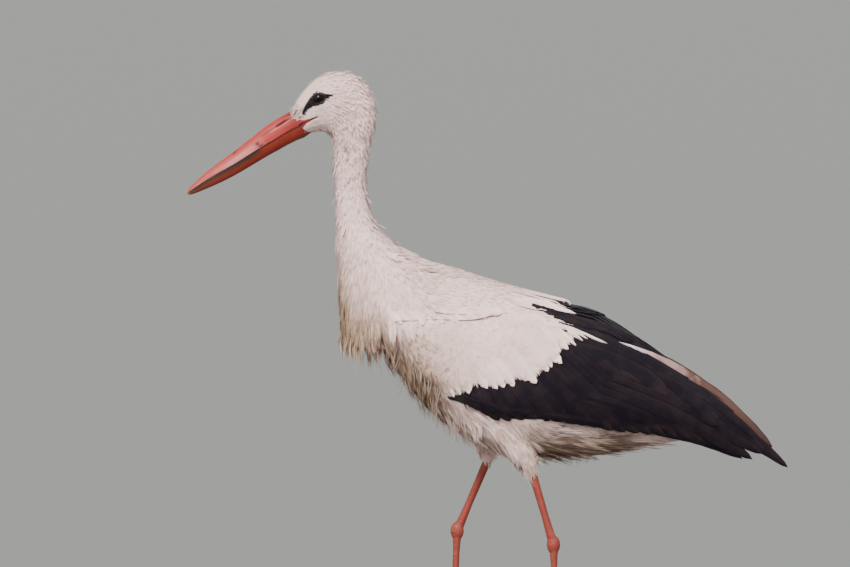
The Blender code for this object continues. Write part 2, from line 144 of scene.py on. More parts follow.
def tree_of(obj):
    """An object's surface, to look for places on."""
    build = bmesh.new()
    build.from_mesh(obj.data)
    tree = BVHTree.FromBMesh(build)
    build.free()
    return tree


def tree_of_nodes(names):
    """The joined surface of CAD nodes, to look for places on."""
    copy = merged_nodes("copy", names)
    tree = tree_of(copy)
    bpy.data.objects.remove(copy)
    return tree


def dressed(obj, material):
    """Gives an object its material and fixes it to the body, which is all one."""
    obj.data.materials.clear()
    obj.data.materials.append(material)
    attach(obj, "root")
    return obj


def unit(vectors):
    """Vectors of length one in the same directions."""
    return vectors / np.maximum(np.linalg.norm(vectors, axis=-1, keepdims=True), 1e-9)


def box(node):
    """The low and the high corner of a node's box, as arrays."""
    return [np.array(corner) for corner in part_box(node)]


def at(node, fx=0.0, fy=0.0, fz=0.0):
    """A point in a node's box, by its shares of the way along X, Y and Z."""
    low, high = box(node)
    return low + (high - low) * (fx, fy, fz)


# How the plumage lies. Each guide gives a place in its node's box, the way a feather points there
# along X and Z, and its length, half width and depth of coat in millimetres.
GUIDES = (
    ("head", (
        (0.06, 0.35, 0.65, 0.45, 0.85, 5, 1.3, 1.0),
        (0.17, 0.19, 0.60, 0.80, 0.25, 4, 1.1, 0.8),
        (0.24, 0.32, 0.87, 0.85, 0.45, 7, 1.6, 1.6),
        (0.49, 0.50, 0.99, 1.00, 0.00, 9, 2.0, 2.2),
        (0.81, 0.41, 0.87, 0.70, -0.75, 11, 2.2, 2.4),
        (0.98, 0.50, 0.60, 0.10, -1.00, 13, 2.4, 2.6),
        (0.17, 0.24, 0.41, 0.95, 0.08, 4, 1.1, 0.8),
        (0.32, 0.10, 0.52, 1.00, -0.10, 6, 1.4, 1.2),
        (0.55, 0.06, 0.56, 0.85, -0.50, 9, 1.8, 2.0),
        (0.36, 0.10, 0.78, 1.00, 0.15, 6, 1.4, 1.3),
        (0.58, 0.04, 0.74, 1.00, -0.20, 8, 1.8, 1.8),
        (0.21, 0.43, 0.31, 1.00, -0.12, 5, 1.2, 1.0),
        (0.39, 0.35, 0.28, 0.80, -0.50, 8, 1.6, 1.8),
        (0.47, 0.28, 0.18, 0.20, -1.00, 11, 2.0, 2.4),
        (0.71, 0.06, 0.35, 0.25, -1.00, 11, 2.2, 2.4),
    )),
    ("neck_upper", (
        (0.00, 0.36, 0.59, 0.00, -1.00, 13, 2.3, 2.6),
        (0.41, 0.06, 0.52, 0.02, -1.00, 13, 2.3, 2.6),
        (0.84, 0.50, 0.52, 0.00, -1.00, 13, 2.3, 2.6),
    )),
    ("neck_lower", (
        (0.00, 0.42, 0.97, 0.02, -1.00, 17, 2.6, 3.0),
        (0.30, 0.25, 0.97, 0.04, -1.00, 17, 2.6, 3.0),
        (0.60, 0.50, 0.91, 0.12, -1.00, 17, 2.6, 3.0),
        (0.00, 0.37, 0.50, 0.00, -1.00, 26, 3.0, 4.0),
        (0.39, 0.20, 0.50, 0.08, -1.00, 24, 3.0, 4.0),
        (0.76, 0.44, 0.71, 0.45, -0.90, 19, 2.8, 3.5),
    )),
    ("breast_plumes", (
        (0.08, 0.40, 0.71, -0.02, -1.00, 42, 3.2, 5.0),
        (0.39, 0.14, 0.58, 0.02, -1.00, 44, 3.2, 5.0),
        (0.45, 0.08, 0.31, 0.00, -1.00, 46, 3.2, 5.0),
        (0.96, 0.12, 0.61, 0.15, -1.00, 38, 3.2, 5.0),
    )),
    ("trunk", (
        (0.18, 0.50, 1.00, 0.80, -0.60, 20, 3.2, 3.5),
        (0.20, 0.19, 0.76, 0.42, -0.90, 32, 3.6, 4.5),
        (0.22, 0.28, 0.90, 0.80, -0.55, 24, 3.6, 4.0),
        (0.19, 0.14, 0.59, 0.33, -0.95, 36, 3.4, 5.0),
        (0.18, 0.35, 0.45, 0.60, -0.80, 36, 3.6, 5.0),
        (0.33, 0.41, 0.89, 1.00, -0.40, 25, 5.0, 3.5),
        (0.53, 0.38, 0.81, 1.00, -0.35, 28, 5.5, 3.5),
        (0.36, 0.14, 0.77, 0.95, -0.28, 26, 5.0, 3.5),
        (0.59, 0.14, 0.72, 1.00, -0.42, 28, 5.5, 3.5),
        (0.71, 0.44, 0.73, 1.00, -0.40, 28, 5.5, 3.5),
    )),
    ("wing_left_coverts", (
        (0.08, 0.21, 0.66, 0.70, -0.70, 15, 4.0, 3.0),
        (0.15, 0.15, 0.37, 0.58, -0.82, 18, 4.2, 3.0),
        (0.22, 0.10, 0.72, 0.80, -0.60, 20, 5.0, 3.0),
        (0.36, 0.05, 0.50, 0.60, -0.80, 24, 5.5, 3.0),
        (0.60, 0.05, 0.69, 0.72, -0.70, 26, 6.0, 3.0),
        (0.81, 0.07, 0.72, 0.85, -0.50, 26, 6.0, 3.0),
        (0.41, 0.09, 0.14, 0.50, -0.87, 26, 6.0, 3.0),
    )),
    ("wing_left_secondaries", (
        (0.66, 0.20, 0.56, 0.90, -0.42, 24, 5.0, 3.0),
        (0.44, 0.05, 0.33, 0.93, -0.36, 24, 5.0, 3.0),
    )),
    ("wing_left_primaries", (
        (0.18, 0.05, 0.62, 0.88, -0.47, 20, 4.0, 1.5),
    )),
    ("trunk", (
        (0.28, 0.20, 0.29, 0.65, -0.76, 34, 3.6, 5.0),
        (0.39, 0.26, 0.12, 0.75, -0.66, 36, 3.6, 5.0),
        (0.53, 0.38, 0.06, 0.97, -0.25, 32, 3.6, 5.0),
        (0.45, 0.07, 0.15, 0.78, -0.62, 30, 3.6, 4.5),
        (0.72, 0.20, 0.09, 1.00, -0.12, 36, 3.8, 5.0),
        (0.66, 0.50, 0.00, 1.00, 0.02, 34, 3.8, 5.0),
        (0.92, 0.35, 0.03, 1.00, 0.05, 34, 3.8, 4.0),
    )),
    ("tail", (
        (0.60, 0.27, 0.20, 1.00, -0.05, 28, 5.0, 1.5),
    )),
    ("thigh_left", (
        (0.38, 0.20, 0.90, 0.50, -0.87, 24, 3.2, 3.5),
        (0.68, 0.39, 0.40, 0.42, -0.90, 18, 2.6, 2.2),
        (0.84, 0.48, 0.12, 0.42, -0.90, 12, 2.0, 1.2),
    )),
)
# The right leg is ahead of the left, so its thigh has guides of its own.
RIGHT_GUIDES = (
    ("thigh_right", (
        (0.59, 0.80, 0.77, -0.20, -0.98, 24, 3.2, 3.5),
        (0.49, 0.61, 0.28, -0.15, -0.98, 16, 2.6, 2.2),
        (0.43, 0.52, 0.04, -0.15, -0.98, 10, 2.0, 1.2),
    )),
)


def guide_table(groups):
    """Guides as an array: place, direction, length, half width and depth, in metres."""
    table = []
    for node, rows in groups:
        for fx, fy, fz, dx, dz, *sizes in rows:
            place = at(node, fx, fy, fz)
            table.append([place[0], abs(place[1]), place[2], dx, 0.0, dz,
                          *(size / 1000 for size in sizes)])
    return np.array(table)


GUIDE_BLUR = 3e-5  # keeps a guide from ruling alone at its own place, in square metres
GUIDE_FALL = 1.8  # how fast a guide's say falls with the square of the distance
LEFT_TABLE = guide_table(GUIDES)
RIGHT_TABLE = guide_table([*(g for g in GUIDES if g[0] != "thigh_left"), *RIGHT_GUIDES])


def lie(points):
    """The guides' values at points: (directions, lengths, half widths, depths)."""
    folded = points * (1.0, 0.0, 1.0) + np.abs(points) * (0.0, 1.0, 0.0)
    values = np.empty((len(points), 6))
    for side, table in ((-1, LEFT_TABLE), (1, RIGHT_TABLE)):
        mine = (points[:, 1] > 0) == (side > 0)
        gap = folded[mine][:, None, :] - table[None, :, :3]
        weight = 1.0 / (np.sum(gap * gap, axis=2) + GUIDE_BLUR) ** GUIDE_FALL
        values[mine] = (weight / weight.sum(1, keepdims=True)) @ table[:, 3:]
    return unit(values[:, :3]), values[:, 3], values[:, 4], values[:, 5]


def along_surface(directions, normals):
    """Directions laid flat on the surface."""
    return unit(directions - normals * np.sum(directions * normals, axis=1, keepdims=True))


eyes = {}
for word in SIDES:
    low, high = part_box(f"eye_{word}")
    eyes[word] = np.array((low + high) / 2)
EYE_RADIUS = (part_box("eye_left")[1][2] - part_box("eye_left")[0][2]) / 2

# The black patch round the eye, in eye radii ahead of (-) or behind and below (-) or above its
# centre, and the wedge of bare skin at the corner of the mouth.
PATCH = ((-2.70, -2.95), (-2.72, -2.10), (-2.35, -1.25), (-1.72, -0.30), (-1.02, 0.52),
         (-0.25, 1.02), (0.58, 0.94), (1.15, 0.84), (2.55, 0.72), (1.80, 0.10), (1.15, -0.36),
         (0.80, -0.76), (0.00, -1.18), (-0.89, -1.30), (-1.62, -1.78), (-2.20, -2.48))
GAPE_TOP = ((-3.70, -3.60), (-3.15, -3.36), (-2.45, -3.46), (-1.45, -3.26), (-0.20, -2.80))
GAPE_LOW = ((-3.10, -5.30), (-2.72, -5.10), (-2.50, -4.60), (-1.95, -4.00), (-0.20, -2.92))
GAPE = (*GAPE_TOP, *reversed(GAPE_LOW))


def side_view(points):
    """Points as seen from the side, in eye radii from the eye."""
    return (points[:, [0, 2]] - eyes["left"][[0, 2]]) / EYE_RADIUS


def outline_distance(flat, outline, closed=True):
    """Distance to an outline, which is negative inside a closed one."""
    ends = np.array(outline)
    starts = np.roll(ends, 1, axis=0) if closed else ends[:-1]
    ends = ends if closed else ends[1:]
    nearest = np.full(len(flat), 1e9)
    inside = np.zeros(len(flat), bool)
    for a, b in zip(starts, ends):
        share = np.clip(((flat - a) @ (b - a)) / ((b - a) @ (b - a)), 0, 1)
        nearest = np.minimum(nearest, np.linalg.norm(flat - a - share[:, None] * (b - a), axis=1))
        if closed:
            crosses = (a[1] > flat[:, 1]) != (b[1] > flat[:, 1])
            rise = b[1] - a[1] if b[1] != a[1] else 1e-9
            meets = a[0] + (flat[:, 1] - a[1]) / rise * (b[0] - a[0])
            inside ^= crosses & (flat[:, 0] < meets)
    return np.where(inside, -nearest, nearest)


skin = merged_nodes("skin", FLESH + ["eye_left", "eye_right"])
apply_modifier(skin, "REMESH", mode="VOXEL", voxel_size=SKIN_GRAIN)
apply_modifier(skin, "SMOOTH", factor=0.6, iterations=9)
solid_tree = tree_of_nodes(FLESH)

# The skin ends where the wing is only feathers, and it is made finer on the head.
build = bmesh.new()
build.from_mesh(skin.data)
behind = [v for v in build.verts if v.co.x > SKIN_END]
bmesh.ops.delete(build, geom=behind, context="VERTS")
bmesh.ops.holes_fill(build, edges=[e for e in build.edges if e.is_boundary], sides=0)
# Only the largest closed surface stays: the remesh also leaves small ones inside it.
# They are kept in order and go all at once, so that every run numbers the skin the same way.
pieces, left = [], dict.fromkeys(build.verts)
while left:
    piece, reach = [], [left.popitem()[0]]
    while reach:
        vertex = reach.pop()
        piece.append(vertex)
        for edge in vertex.link_edges:
            other = edge.other_vert(vertex)
            if other in left:
                del left[other]
                reach.append(other)
    pieces.append(piece)
pieces.sort(key=len)
small = [vertex for piece in pieces[:-1] for vertex in piece]
bmesh.ops.delete(build, geom=small, context="VERTS")
head_low, head_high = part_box("head")
head_edges = [e for e in build.edges
              if all(v.co.x < head_high.x and v.co.z > head_low.z + 0.005 for v in e.verts)]
bmesh.ops.subdivide_edges(build, edges=head_edges, cuts=1, use_grid_fill=True, smooth=0.6)
bmesh.ops.recalc_face_normals(build, faces=build.faces)
build.to_mesh(skin.data)
build.free()

# The thighs narrow onto the shins, the face keeps to the solid head, and all the rest is drawn
# in by the coat's depth and made uneven. Then the bib gets its hem and the eyes their sockets.
surface = points_of(skin.data)
outward = normals_of(skin.data)
depth = lie(surface)[3]
for word in SIDES:
    low = box(f"thigh_{word}")[0]
    shin = points_of(nodes[f"shin_{word}"].data)
    stem = shin[shin[:, 2] > low[2] - 0.004].mean(0)
    share = np.clip((surface[:, 2] - low[2]) / THIGH_TAPER, 0, 1)
    mine = (surface[:, 2] < low[2] + THIGH_TAPER) & (np.sign(surface[:, 1]) == np.sign(stem[1]))
    pull = np.where(mine, STEM_PULL * (1 - share) ** 1.2, 0)
    surface[:, :2] += (stem[:2] - surface[:, :2]) * pull[:, None]
bill_root = at("head", 0.10, 0.5, 0.36)
bill_gap = np.linalg.norm((surface - bill_root)[:, [0, 2]], axis=1)
face = np.clip(1.6 - bill_gap / FACE_REACH, 0, 1)
for i in np.nonzero(face > 0)[0]:
    near = solid_tree.find_nearest(surface[i])[0]
    surface[i] += (np.array(near) - surface[i]) * face[i] * 0.9
lumps = np.array([noise.noise(p * 42.0) + 0.5 * noise.noise(p * 105.0)
                  for p in (Vector(s) for s in surface)])
surface += outward * (LUMPS * depth * lumps * (1 - face))[:, None]
surface -= outward * (depth * (1 - 0.6 * face))[:, None]
bib_low, bib_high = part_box("breast_plumes")


def bib_hem(points):
    """The height at which the skin of the bib ends: lower towards the trunk."""
    across = np.clip((points[:, 0] - bib_low.x) / (bib_high.x - bib_low.x), 0, 1)
    return bib_low.z + BIB_HEM * (1 - 0.55 * across)


hem = bib_hem(surface)
fold = (surface[:, 0] < bib_high.x - 0.002) & (surface[:, 2] < hem + BIB_FOLD)
squeezed = hem + (surface[:, 2] - bib_low.z) * BIB_FOLD / (hem + BIB_FOLD - bib_low.z)
surface[:, 2] = np.where(fold, np.maximum(surface[:, 2], squeezed), surface[:, 2])
for word, centre in eyes.items():
    flat = np.linalg.norm((surface - centre)[:, [0, 2]], axis=1) / EYE_RADIUS
    near = np.sign(surface[:, 1]) == np.sign(centre[1])
    sunk = np.sign(centre[1]) * SOCKET_DEPTH * (1 - flat)
    surface[:, 1] -= np.where(near & (flat < 1.0), sunk, 0)
skin.data.vertices.foreach_set("co", surface.ravel())
skin.data.update()
apply_modifier(skin, "SMOOTH", factor=0.4, iterations=2)
skin.data.shade_smooth()
only(skin)
bpy.ops.object.mode_set(mode="EDIT")
bpy.ops.mesh.select_all(action="SELECT")
bpy.ops.mesh.quads_convert_to_tris()
bpy.ops.uv.smart_project(angle_limit=math.radians(66), island_margin=0.004)
bpy.ops.object.mode_set(mode="OBJECT")
skin.data.uv_layers[0].name = "OFBake"
skin_tree = tree_of(skin)

# Markings. Skin and feathers share one rule for where the plumage is black: on the flight
# feathers' nodes, over the rump, in a band above the wing and in the patch round each eye.

BLACK_NODES = [n for n in WINGS if "coverts" not in n]
black_tree = tree_of_nodes(BLACK_NODES)
white_tree = tree_of_nodes([n for n in FLESH if n not in BLACK_NODES])
# The ridge of black feathers over the rump: where it starts, how low and how wide it is.
RIDGE_START = at("wing_left_coverts", fx=0.845)[0]
RIDGE_LOW = at("tail", fz=1)[2] + 0.015
RIDGE_HALF_WIDTH = 0.05
# The wings' black is looked for only behind and below these, and the face's only this far aside.
WING_FROM = eyes["left"][0] + 0.15
WING_UNDER = cad_high[2] * 0.68
FACE_ASIDE = 0.007
BLACK_LEAD = 0.0004  # how much nearer the black nodes have to be than the white ones
wing_boxes = np.array([box(n) for n in WINGS if "left" in n])
WING_LOW, WING_HIGH = wing_boxes[:, 0].min(0), wing_boxes[:, 1].max(0)
WING_SPREAD = (WING_HIGH - WING_LOW)[[0, 2]]
# The black band that runs forward between the white of the back and of the wing, in shares of
# the wing's box.
BAND = ((0.350, 1.003), (0.456, 0.935), (0.440, 1.100), (0.620, 1.000), (0.620, 0.700),
        (0.532, 0.769), (0.471, 0.850), (0.437, 0.900), (0.350, 0.985))
# The white forewing above the coverts' edge.
WHITE_WING = ((-0.05, 0.60), (0.08, 0.52), (0.15, 0.50), (0.22, 0.545), (0.30, 0.575),
              (0.345, 0.60), (0.352, 0.66), (0.395, 0.68), (0.415, 0.75), (0.43, 0.83),
              (0.425, 0.885), (0.35, 0.965), (0.30, 1.00), (0.25, 1.04), (-0.05, 1.10))
# Small black flecks between the patch and the bill: a middle and a radius each, in eye radii.
FLECKS = ((-2.22, -2.58, 0.17), (-3.04, -3.08, 0.15), (-3.36, -3.20, 0.13), (-3.54, -2.10, 0.13),
          (-3.12, -2.38, 0.13), (-2.84, -1.62, 0.14), (-3.86, -2.62, 0.12), (-3.36, -2.76, 0.10),
          (-2.98, -1.96, 0.10), (-3.72, -2.98, 0.10))


def blackness(points):
    """1 where the plumage is black and 0 where it is white."""
    seen = side_view(points)
    patch = outline_distance(seen, PATCH)
    for right, up, radius in FLECKS:
        patch = np.minimum(patch, np.linalg.norm(seen - (right, up), axis=1) - radius)
    black = np.clip(0.5 - patch * 6.0, 0, 1) * (np.abs(points[:, 1]) > FACE_ASIDE)
    ridge = (points[:, 0] > RIDGE_START) & (points[:, 2] > RIDGE_LOW)
    black = np.where(ridge & (np.abs(points[:, 1]) < RIDGE_HALF_WIDTH), 1.0, black)
    shares = (points[:, [0, 2]] - WING_LOW[[0, 2]]) / WING_SPREAD
    black = np.where(outline_distance(shares, BAND) < 0, 1.0, black)
    for i, p in enumerate(points):
        if p[0] >= WING_FROM and p[2] <= WING_UNDER:
            if black_tree.find_nearest(p)[3] < white_tree.find_nearest(p)[3] - BLACK_LEAD:
                black[i] = 1.0
    return np.where(outline_distance(shares, WHITE_WING) < 0, 0.0, black)


def set_values(mesh, name, values):
    """Stores one number for each point of a mesh."""
    made = mesh.attributes.new(name, "FLOAT", "POINT")
    made.data.foreach_set("value", np.asarray(values, np.float32).ravel())


def sign(operation, swapped=False):
    """What a sign such as + does between a socket and another value."""
    if swapped:
        return lambda self, other: self.maths(operation, other, self)
    return lambda self, other: self.maths(operation, self, other)


class Sock:
    """A shader socket that can be written with in sums and products."""

    def __init__(self, tree, socket):
        self.tree = tree
        self.socket = socket
        self.many = socket.type in ("VECTOR", "RGBA")

    def maths(self, operation, first, second):
        """A maths node between two values, for vectors where one of them is a vector."""
        many = any(isinstance(v, Sock) and v.many for v in (first, second))
        made = self.tree.nodes.new("ShaderNodeVectorMath" if many else "ShaderNodeMath")
        made.operation = operation
        for i, value in enumerate((first, second)):
            if isinstance(value, Sock):
                self.tree.links.new(value.socket, made.inputs[i])
            else:
                made.inputs[i].default_value = (value,) * 3 if many else value
        return Sock(self.tree, made.outputs[0])

    __add__, __radd__ = sign("ADD"), sign("ADD", True)
    __sub__, __rsub__ = sign("SUBTRACT"), sign("SUBTRACT", True)
    __mul__, __rmul__ = sign("MULTIPLY"), sign("MULTIPLY", True)
    __pow__ = sign("POWER")

    def clipped(self):
        """The value kept between 0 and 1."""
        return self.maths("MINIMUM", self.maths("MAXIMUM", self, 0.0), 1.0)

    def ramp(self, start, rate):
        """0 up to the start, then rising at this rate to 1."""
        return ((self - start) * rate).clipped()

    def sine(self):
        return self.maths("SINE", self, 0.0)


class Finish:
    """A Principled material. What varies over the surface is linked to its sockets."""

    def __init__(self, name, **constants):
        self.material = bpy.data.materials.new(name)
        self.material.use_nodes = True
        self.tree = self.material.node_tree
        self.shader = self.tree.nodes["Principled BSDF"]
        for key, value in constants.items():
            self.shader.inputs[key.replace("_", " ")].default_value = value

    def node(self, kind, settings=None, output=0, **sockets):
        """Any node: its settings first, then the values or links of its sockets."""
        made = self.tree.nodes.new(kind)
        for key, value in (settings or {}).items():
            setattr(made, key, value)
        for key, value in sockets.items():
            socket = made.inputs[key.replace("_", " ")]
            if isinstance(value, Sock):
                self.tree.links.new(value.socket, socket)
            else:
                socket.default_value = value
        return Sock(self.tree, made.outputs[output])

    def value(self, name):
        """The numbers stored under a name on the mesh."""
        return self.node("ShaderNodeAttribute", {"attribute_name": name}, output=2)

    def place(self):
        """The place on the object, in metres."""
        return self.node("ShaderNodeTexCoord", output=3)

    def noise(self, vector, scale, detail):
        """Soft random values over the surface."""
        return self.node("ShaderNodeTexNoise", Vector=vector, Scale=scale, Detail=detail)

    def mix(self, factor, first, second):
        """A colour between two colours."""
        made = self.tree.nodes.new("ShaderNodeMix")
        made.data_type = "RGBA"
        for socket, value in ((made.inputs[0], factor), (made.inputs[6], first),
                              (made.inputs[7], second)):
            if isinstance(value, Sock):
                self.tree.links.new(value.socket, socket)
            elif isinstance(value, tuple):
                socket.default_value = (*value, 1.0)
            else:
                socket.default_value = value
        return Sock(self.tree, made.outputs[2])

    def link(self, name, value):
        """Lets a value drive one of the material's sockets."""
        self.tree.links.new(value.socket, self.shader.inputs[name.replace("_", " ")])

    def bump(self, height, distance, strength):
        """Raises the shading by a height, as if it were this many metres."""
        made = self.node("ShaderNodeBump", Height=height, Distance=distance, Strength=strength)
        self.link("Normal", made)


WHITE = (0.97, 0.728, 0.680)
CREAM = (0.44, 0.300, 0.200)
LILAC = (0.80, 0.63, 0.665)
DUSKY = (0.22, 0.125, 0.100)
BLACK = (0.007, 0.0055, 0.0075)
BROWN = (0.034, 0.023, 0.020)


def plumage(name, roughness, soft):
    """White plumage stained with cream and grey, black by its marking, with painted shade at the
    roots, in hollows and under the body.
    """
    made = Finish(name, Roughness=roughness, Sheen_Weight=soft, Sheen_Roughness=0.5,
                  Specular_IOR_Level=0.16)
    place = made.place()
    broad = made.noise(place, 14.0, 2.0)
    fine = made.noise(place, 160.0, 3.0)
    stain_and_shade = made.value("stain_and_shade")
    # The stain value is partly real cream stain and partly painted shade in hollows and under the
    # body.
    cream = ((broad - 0.5) * 0.7 + (fine - 0.5) * 0.5 + stain_and_shade).clipped()
    white = made.mix(cream, WHITE, CREAM)
    cool = (made.noise(place, 23.0, 2.0) * 2.2 - 1.0).clipped()
    white = made.mix(cool * 0.35, white, LILAC)
    # Painted shade: each tuft is darker towards its root, where the tufts over it shade it; its
    # tone also varies at random.
    shade = (0.86 + 0.14 * made.value("along")) * (0.91 + 0.13 * made.value("tone"))
    white = white * made.node("ShaderNodeCombineXYZ", X=shade, Y=shade, Z=shade)
    # The speck value makes single feathers dusky: partly real specks, partly painted shade.
    white = made.mix(made.value("speck_and_shade"), white, DUSKY)
    black = made.mix(made.value("tone") * 0.35, BLACK, BROWN)
    made.link("Base_Color", made.mix(made.value("black"), white, black))
    made.bump(fine, 0.0004, 0.5)
    return made.material


surface = points_of(skin.data)
set_values(skin.data, "black", blackness(surface))
for key, value in (("along", 0.8), ("tone", 0.5), ("stain_and_shade", 0.1), ("speck_and_shade", 0.0)):
    set_values(skin.data, key, np.full(len(surface), value))
dressed(skin, plumage("plumage_skin", 0.9, 0.1))
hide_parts(*FLESH)

# Feather maker. A feather is a pattern of points (share of the way along, share of the half
# width across, lift) that is laid on a path over the skin. Thousands are laid at once. Their
# shading leans towards that of the body beneath, as fine barbs scatter the light.

SOFTNESS = 0.72
FACE_SOFTNESS = 0.38
FIELDS = ("tone", "black", "stain_and_shade", "speck_and_shade")
SPOT = 0.0015  # half the side of the patch that each feather takes up in the OFBake map
KINDS = 6  # how many patterns of tuft each region has


def grown_paths(roots, normals, ways, lengths, depths, rows, lift, free):
    """Paths that leave the skin at roots and rise to the coat's surface at their tips.

    `free` is how far a path keeps straight on instead of following the skin, from 0 to 1.
    Returns arrays of points, of the way across and of the way out, each (feather, row, 3).
    """
    count = len(roots)
    free = np.asarray(free, float).reshape(-1, 1)
    points = np.empty((count, rows, 3))
    across, out = np.empty_like(points), np.empty_like(points)
    foot, way = roots.copy(), ways.copy()
    for k in range(rows):
        if k:
            loose = foot + way * (lengths / (rows - 1))[:, None]
            found = [skin_tree.find_nearest(p) for p in loose]
            surface_points = np.array([f[0] for f in found])
            new_normals = unit(np.array([f[1] for f in found]))
            foot = loose * free + surface_points * (1 - free)
            normals = unit(normals * free + new_normals * (1 - free))
            gap = np.sum((foot - surface_points) * new_normals, axis=1)
            foot += new_normals * np.maximum(0, -gap)[:, None]
            way = 0.5 * way + 0.5 * lie(foot)[0]
        way = along_surface(way, normals)
        share = k / (rows - 1)
        height = depths * (0.12 + (lift - 0.12) * share ** 0.8)
        points[:, k] = foot + normals * height[:, None]
        across[:, k] = np.cross(normals, way)
        out[:, k] = normals
    return points, across, out


def laid(pattern, points, across, out, half_widths):
    """The pattern's points on every path, with the way out at each."""
    rows = points.shape[1]
    along = np.clip(pattern[:, 0], 0, 1.15) * (rows - 1)
    low = np.minimum(along.astype(int), rows - 2)
    share = (along - low)[None, :, None]

    def there(values):
        return values[:, low] * (1 - share) + values[:, low + 1] * share

    size = half_widths[:, None, None]
    placed = (there(points) + there(across) * pattern[None, :, 1, None] * size
              + there(out) * pattern[None, :, 2, None] * size)
    return placed, there(out)


def tuft_pattern(random, blades, spread, thin, curl=0.25):
    """Blades that fan out from one root, each a strip that narrows to a point."""
    points, faces = [], []
    for b in range(blades):
        lean = spread * (2 * (b + 0.5) / blades - 1 + random.uniform(-0.25, 0.25))
        reach = random.uniform(0.72, 1.0)
        lift = random.uniform(-0.3, 0.5) * curl
        twist = random.uniform(-0.6, 0.6) * thin
        first = len(points)
        for share, wide in ((0.0, 0.55), (0.4, 1.0), (0.75, 0.75)):
            middle = lean * share ** 0.9
            for side in (-1, 1):
                points.append((share * reach, middle + side * wide * thin,
                               lift * share + side * twist * share))
        points.append((reach, lean * 1.02, lift))
        a = first
        faces += [(a, a + 1, a + 3), (a, a + 3, a + 2), (a + 2, a + 3, a + 5),
                  (a + 2, a + 5, a + 4), (a + 4, a + 5, a + 6)]
    return np.array(points), np.array(faces)


def feather_piece(name, batches, material, softness=SOFTNESS):
    """One object from batches of (placed points and ways out, pattern, faces, values, homes)."""
    all_points, all_outs, all_faces, total = [], [], [], 0
    fields = {key: [] for key in ("along", *FIELDS)}
    patches = []
    for (placed, outs), pattern, faces, values, homes in batches:
        count, size = placed.shape[:2]
        all_points.append(placed.reshape(-1, 3))
        all_outs.append(outs.reshape(-1, 3))
        shift = total + np.arange(count)[:, None, None] * size
        all_faces.append((faces[None] + shift).reshape(-1, 3))
        total += count * size
        fields["along"].append(np.tile(np.clip(pattern[:, 0], 0, 1), count))
        for key in FIELDS:
            fields[key].append(np.repeat(values[key], size))
        spot = np.stack([np.clip(pattern[:, 1], -1, 1) * SPOT,
                         (np.clip(pattern[:, 0], 0, 1) - 0.5) * 2 * SPOT], axis=1)
        patches.append((homes[:, None, :] + spot[None]).reshape(-1, 2))
    points, faces = np.concatenate(all_points), np.concatenate(all_faces)
    points = np.clip(points, np.array(cad_low), np.array(cad_high))
    outs = np.concatenate(all_outs)
    corners = points[faces]
    facing = np.cross(corners[:, 1] - corners[:, 0], corners[:, 2] - corners[:, 0])
    inward = np.sum(facing * outs[faces].mean(1), axis=1) < 0
    faces[inward] = faces[inward][:, ::-1]
    mesh = bpy.data.meshes.new(name)
    mesh.vertices.add(len(points))
    mesh.vertices.foreach_set("co", points.astype(np.float32).ravel())
    mesh.loops.add(len(faces) * 3)
    mesh.loops.foreach_set("vertex_index", faces.astype(np.int32).ravel())
    mesh.polygons.add(len(faces))
    mesh.polygons.foreach_set("loop_start", np.arange(0, len(faces) * 3, 3, dtype=np.int32))
    mesh.polygons.foreach_set("loop_total", np.full(len(faces), 3, np.int32))
    mesh.update()
    for key, parts in fields.items():
        set_values(mesh, key, np.concatenate(parts))
    layer = mesh.uv_layers.new(name="OFBake")
    layer.data.foreach_set("uv", np.concatenate(patches)[faces.ravel()].astype(np.float32).ravel())
    mesh.shade_smooth()
    own = normals_of(mesh)
    own *= np.sign(np.sum(own * outs, axis=1, keepdims=True) + 1e-9)
    mesh.normals_split_custom_set_from_vertices(unit(outs * softness + own * (1 - softness)))
    return dressed(in_scene(name, mesh), material)


def in_kinds(seed, kinds, clear, tuft, paths, half_widths, values, homes):
    """The clear tufts as one batch for each pattern. `tuft` is what tuft_pattern needs."""
    batches = []
    for kind in range(KINDS):
        mine = (kinds == kind) & clear
        pattern, faces = tuft_pattern(np.random.default_rng(seed * 10 + kind), *tuft)
        placed = laid(pattern, *(part[mine] for part in paths), half_widths[mine])
        picked = {key: value[mine] for key, value in values.items()}
        batches.append((placed, pattern, faces, picked, homes[mine]))
    return batches


# Root places. Points are scattered over the skin with an even gap that grows from face to rump.

NEIGHBOURS = [(x, y, z) for x in (-1, 0, 1) for y in (-1, 0, 1) for z in (-1, 0, 1)]

skin.data.calc_loop_triangles()
triangle_corners = np.array([t.vertices[:] for t in skin.data.loop_triangles])
triangle_loops = np.array([t.loops[:] for t in skin.data.loop_triangles])
skin_uv = np.empty(len(skin.data.loops) * 2)
skin.data.uv_layers["OFBake"].data.foreach_get("uv", skin_uv)
skin_uv = skin_uv.reshape(-1, 2)
corner_points = surface[triangle_corners]
middles = corner_points.mean(1)


